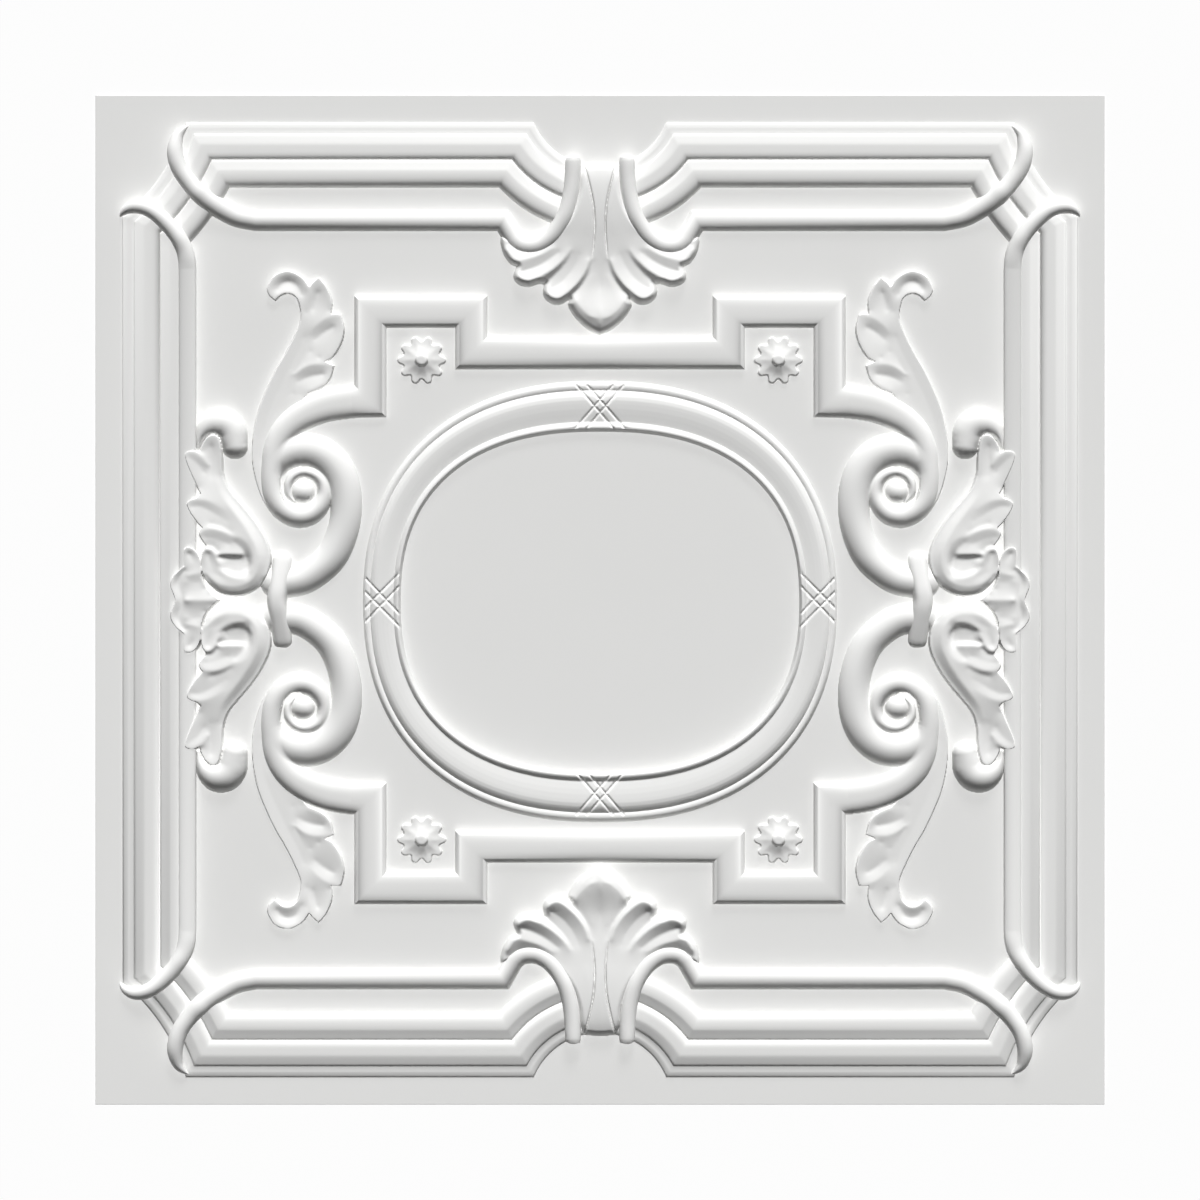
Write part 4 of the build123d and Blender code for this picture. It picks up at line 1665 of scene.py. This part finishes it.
@dataclass
class SideAcanthus(CarvedRelief):
    """Curled acanthus leaves that grow from the clasps to the side cords, with a shell between them."""

    low: tuple[float, float] = (190.0, -117.0)
    high: tuple[float, float] = (258.0, 117.0)
    leaf_wall: float = 0.7
    shell_wall: float = 0.6
    step: float = 0.55
    name: ClassVar[str] = "side_acanthus"
    mirror: ClassVar[tuple[bool, bool]] = (True, False)

    def leaf_outline(self) -> list[Run]:
        """Runs round the leaf: its tip and body, its foot, and the lobes back to the tip."""
        return linked([
            [
                (237.9, 87.8), (236.8, 91.6), (234.1, 96.1), (230.1, 98.5), (226.8, 97.2), (225.2, 93.2),
                (224.2, 87.2), (224.0, 80.8), (223.3, 74.3), (220.6, 66.7), (215.2, 59.7), (208.7, 52.1),
                (202.7, 44.0), (197.9, 35.3), (195.5, 27.8), (195.7, 20.2), (198.4, 12.6), (203.3, 7.2),
                (210.8, 3.1), (218.4, 2.4), (226.0, 4.0), (231.4, 8.3), (235.2, 13.2), (236.9, 17.5),
            ],
            [(237.2, 22.4), (236.5, 27.8), (234.6, 31.0), (234.4, 32.5)],
            [(236.5, 35.3), (238.1, 38.4), (237.6, 41.0), (236.3, 42.7)],
            [
                (240.0, 46.7), (243.5, 51.6), (245.4, 55.9), (245.0, 58.5), (242.2, 60.2), (239.5, 61.1),
                (237.5, 63.0),
            ],
            [
                (241.1, 70.5), (244.9, 79.1), (246.7, 85.1), (246.3, 87.7), (243.3, 89.1), (240.2, 88.9),
                (237.9, 87.8),
            ],
        ])

    def leaf_folds(self) -> dict[str, Run]:
        """Ridges and hollows of the leaf, by name."""
        return {
            "tip_rim": [
                (236.5, 87.8, 7.0), (235.3, 92.1, 7.4), (232.9, 95.7, 7.8), (230.1, 97.1, 8.0),
                (227.5, 95.9, 7.8), (226.2, 92.1, 7.4), (225.3, 86.2, 7.0), (224.9, 79.7, 6.6),
            ],
            "tip_hollow": [
                (230.6, 91.6, 6.5), (230.8, 86.2, 6.2), (231.3, 80.8, 6.2), (230.7, 73.2, 6.7),
            ],
            "first_rim": [
                (245.6, 86.9, 9.2), (243.0, 87.8, 9.2), (240.0, 87.2, 8.8), (236.2, 84.9, 8.2),
                (232.5, 80.0, 7.4),
            ],
            "first_hollow": [
                (243.3, 84.2, 8.8), (240.6, 82.7, 8.2), (237.5, 79.7, 7.4), (234.8, 75.4, 6.8),
            ],
            "first_crest": [
                (245.5, 83.5, 9.3), (243.8, 78.4, 9.1), (240.9, 72.3, 8.5), (237.9, 66.2, 7.8),
            ],
            "body_crest": [
                (227.9, 71.0, 7.2), (224.7, 62.4, 8.0), (218.4, 53.7, 8.7), (211.9, 45.1, 9.2),
                (206.5, 36.4, 9.7), (203.3, 28.9, 9.9), (202.7, 22.4, 10.0), (204.6, 15.0, 10.0),
                (210.0, 9.8, 9.9), (218.0, 7.9, 9.8), (226.0, 9.4, 9.7), (231.9, 13.4, 9.5),
                (235.2, 17.2, 9.2),
            ],
            "body_edge": [
                (224.1, 74.3, 6.0), (221.3, 65.4, 6.2), (216.1, 58.2, 6.4), (209.7, 50.5, 6.6),
                (204.0, 42.8, 6.8), (199.4, 34.4, 7.0), (197.2, 26.9, 7.2), (197.4, 20.4, 7.4),
                (199.9, 14.2, 7.9), (204.6, 9.4, 8.5), (211.3, 5.4, 8.8), (218.4, 4.6, 8.8),
                (225.2, 6.1, 8.7), (230.2, 9.8, 8.5), (233.9, 14.2, 8.4),
            ],
            "body_foot": [
                (199.2, 12.9, 6.6), (203.8, 8.1, 7.2), (211.0, 4.1, 7.4), (218.4, 3.4, 7.4),
                (225.7, 5.0, 7.3), (230.9, 9.0, 7.3),
            ],
            "second_rim": [
                (244.7, 57.4, 9.8), (242.4, 59.0, 9.8), (238.4, 59.8, 9.6), (233.5, 59.1, 9.2),
                (228.1, 56.6, 8.8), (222.7, 53.5, 8.6),
            ],
            "second_hollow": [
                (242.2, 55.2, 9.2), (237.9, 55.7, 8.8), (232.5, 53.5, 8.3), (227.0, 50.3, 8.1),
                (221.6, 47.0, 8.3),
            ],
            "second_crest": [
                (244.3, 54.6, 9.8), (242.4, 51.1, 9.8), (239.2, 47.2, 9.6), (235.9, 44.2, 9.4),
            ],
            "third_foot": [(231.4, 45.5, 8.4), (224.9, 43.8, 8.4), (218.4, 40.5, 8.7)],
            "third_rim": [
                (237.4, 39.2, 10.0), (234.8, 41.5, 10.0), (230.8, 42.4, 9.9), (224.9, 41.1, 9.7),
                (219.5, 38.5, 9.4), (215.7, 36.8, 9.3),
            ],
            "third_hollow": [
                (234.4, 37.3, 9.2), (230.3, 37.0, 8.9), (224.9, 34.8, 8.6), (220.4, 33.2, 8.4),
            ],
            "third_edge": [(237.3, 37.5, 9.8), (235.7, 34.8, 9.6)],
            "third_crest": [
                (227.0, 27.4, 9.3), (221.6, 27.0, 9.6), (216.2, 26.9, 9.3), (213.0, 27.2, 8.9),
                (211.7, 27.6, 8.3),
            ],
            "eye_foot": [(226.2, 25.1, 7.4), (222.0, 24.7, 6.9), (216.5, 24.5, 6.6), (212.6, 24.3, 6.5)],
            "wall_top": [
                (216.2, 38.0, 9.3), (211.6, 36.0, 9.5), (208.0, 32.6, 9.6), (206.3, 28.6, 9.7),
                (205.8, 24.0, 9.7), (206.2, 20.0, 9.7), (207.4, 16.8, 9.6),
            ],
            "wall_foot": [
                (216.8, 34.4, 8.4), (213.6, 31.8, 8.2), (211.3, 29.0, 7.9), (209.8, 25.2, 6.5),
                (208.7, 22.0, 6.4), (209.2, 19.0, 6.6), (210.6, 17.4, 6.9),
            ],
            "eye_floor": [(222.0, 21.0, 7.1), (216.5, 20.5, 6.9), (211.8, 21.0, 6.7)],
            "eye_rise": [(225.6, 18.4, 9.2), (221.8, 15.2, 9.6), (216.7, 13.2, 9.8), (211.4, 12.8, 9.8)],
            "eye_hem": [(222.8, 18.8, 7.5), (217.0, 17.0, 7.3), (212.6, 16.8, 7.3)],
            "strand_crease": [(229.4, 16.6, 9.0), (226.0, 14.4, 9.1), (222.4, 12.2, 9.5)],
            "finger_foot": [(233.7, 32.4, 8.6), (230.1, 31.8, 8.4), (226.8, 28.6, 8.2)],
            "finger_rim": [
                (236.3, 22.9, 9.6), (236.1, 26.7, 10.0), (234.9, 29.3, 10.2), (232.5, 30.6, 10.3),
                (229.9, 29.2, 10.2), (227.5, 25.4, 9.8), (225.7, 20.8, 9.4),
            ],
            "finger_hollow": [(232.7, 27.6, 8.7), (231.8, 23.5, 8.7), (229.9, 18.9, 9.0)],
        }

    def shell_outline(self) -> list[Run]:
        """Runs round one half of the shell and a little past its middle."""
        return linked([
            [
                (252.4, -2.1), (252.7, 0.9), (253.9, 4.2), (255.2, 8.0), (254.8, 11.9), (252.1, 16.1),
                (247.1, 20.5),
            ],
            [
                (247.3, 25.9), (247.1, 30.3), (244.7, 31.7), (241.7, 31.0), (238.8, 28.5), (237.0, 24.7),
                (236.4, 19.9), (235.8, 13.4), (232.8, 6.8), (228.0, 2.1), (223.3, -2.1),
            ],
            [(237.6, -2.7), (252.4, -2.1)],
        ])

    def shell_folds(self) -> dict[str, Run]:
        """Ridges and hollows of the shell, by name."""
        return {
            "leaf_rim": [
                (246.0, 21.7, 9.6), (246.3, 28.8, 10.0), (244.7, 30.1, 10.2), (242.3, 29.8, 10.2),
                (239.6, 27.7, 10.0), (237.9, 24.1, 9.8),
            ],
            "leaf_hollow": [(243.8, 27.4, 8.9), (242.0, 24.7, 9.2), (241.7, 21.1, 9.7)],
            "shell_rim": [
                (247.1, 19.3, 9.8), (250.8, 16.1, 9.8), (253.3, 11.9, 9.7), (253.7, 7.7, 9.7),
                (252.1, 3.6, 9.8), (251.2, -0.3, 10.0),
            ],
            "shell_groove": [
                (246.2, 17.7, 8.6), (248.7, 14.8, 8.5), (250.3, 11.1, 8.2), (249.9, 7.4, 8.3),
                (248.5, 3.3, 8.5), (247.9, -0.3, 8.6),
            ],
            "upper_bulge": [(244.7, 14.6, 10.0), (240.5, 15.2, 10.3), (237.6, 16.4, 10.2)],
            "dip": [(245.9, 10.4, 9.5), (240.5, 10.7, 9.5), (237.0, 10.4, 9.3)],
            "middle_ridge": [
                (245.3, -0.3, 10.8), (240.5, -0.3, 10.9), (234.6, -0.3, 10.6), (229.2, -0.3, 9.8),
            ],
            "foot": [(234.0, 6.8, 8.4), (230.4, 3.3, 8.4)],
        }

    def curl(self) -> Run:
        """Knots of the round curl behind the leaf's tip."""
        return [
            (239.0, 90.0, 0.8, 5.0), (237.6, 96.5, 2.8, 6.4), (234.2, 101.6, 6.2, 8.0),
            (229.0, 104.6, 9.0, 9.2), (223.0, 104.4, 9.6, 9.8), (219.2, 100.5, 9.2, 9.8),
            (217.9, 95.5, 8.6, 9.7), (217.2, 91.6, 7.8, 9.6),
        ]

    def carving(self) -> Carving:
        """Carve the two leaves and the shell of one side.

        Returns:
            Their height map.
        """
        made = Carving(self.low, self.high, self.step, (False, True))
        made.drape(self.leaf_outline(), self.leaf_folds(), self.leaf_wall, blend=0.6)
        made.drape(self.shell_outline(), self.shell_folds(), self.shell_wall, blend=0.2)
        return made.stroke(self.curl(), blend=0.3)


# Studio


@dataclass
class Studio:
    """Floor, soft light from the top of the panel and a camera straight above it."""

    frame_width: float = 0.7136
    lens_mm: float = 200.0
    sensor_mm: float = 36.0
    far_clip: float = 50.0
    floor_size: float = 8.0
    floor_drop: float = 0.0004
    key_strength: float = 4.45
    shadow_strength: float = 0.5
    spread_deg: float = 20.0
    key_from: tuple[float, float, float] = (0.09, 0.84, 0.535)
    sky: float = 0.02

    def floor(self) -> None:
        """Lay the white floor under the panel."""
        bpy.ops.mesh.primitive_plane_add(size=self.floor_size, location=(0, 0, 0))
        made = bpy.context.object
        made.name = "floor"
        made.data.transform(Matrix.Translation((0, 0, -self.floor_drop)))
        made.data.materials.append(FloorFinish().make())

    def sun(self, name: str, strength: float, casts: bool) -> None:
        """Hang one sun.

        Args:
            name: Name of the light.
            strength: Its strength.
            casts: Whether it casts shadows.
        """
        lamp = bpy.data.lights.new(name, "SUN")
        lamp.energy = strength
        lamp.angle = math.radians(self.spread_deg)
        lamp.use_shadow = casts
        made = bpy.data.objects.new(name, lamp)
        made.rotation_euler = Vector(self.key_from).to_track_quat("Z", "Y").to_euler()
        bpy.context.scene.collection.objects.link(made)

    def lights(self) -> None:
        """Hang the key light and a weaker one that casts the shadows, and set the sky."""
        self.sun("key", self.key_strength, False)
        self.sun("shadow", self.shadow_strength, True)
        world = bpy.data.worlds.new("sky")
        bpy.context.scene.world = world
        kit = NodeKit.shading(world)
        strength = self.sky + (1.0 - self.sky) * kit.white_to_view()
        light = kit.node("ShaderNodeBackground", {}, {"Color": WHITE, "Strength": strength})
        kit.node("ShaderNodeOutputWorld", {}, {"Surface": light})

    def camera(self) -> None:
        """Hang the camera straight above the panel."""
        data = bpy.data.cameras.new("camera")
        data.lens = self.lens_mm
        data.sensor_width = self.sensor_mm
        data.clip_end = self.far_clip
        made = bpy.data.objects.new("camera", data)
        made.location = (0.0, 0.0, self.frame_width * self.lens_mm / self.sensor_mm)
        bpy.context.scene.collection.objects.link(made)
        bpy.context.scene.camera = made

    def build(self) -> None:
        """Set up the whole studio."""
        self.floor()
        self.lights()
        self.camera()
        bpy.context.scene.view_settings.view_transform = "Standard"


def main() -> None:
    """Build every part of the panel, then the studio round it."""
    logging.basicConfig(level=logging.INFO, format="%(name)s: %(message)s")
    finish = PvcFinish().make()
    forming = FormingTree()
    for part in (Sheet, Border, Cords, Strapwork, OvalFrame, Rosettes, Palmettes, Plumes, SideAcanthus):
        part(forming, finish, SHEET_THICKNESS).build()
    Studio().build()


if __name__ == "__main__":
    main()
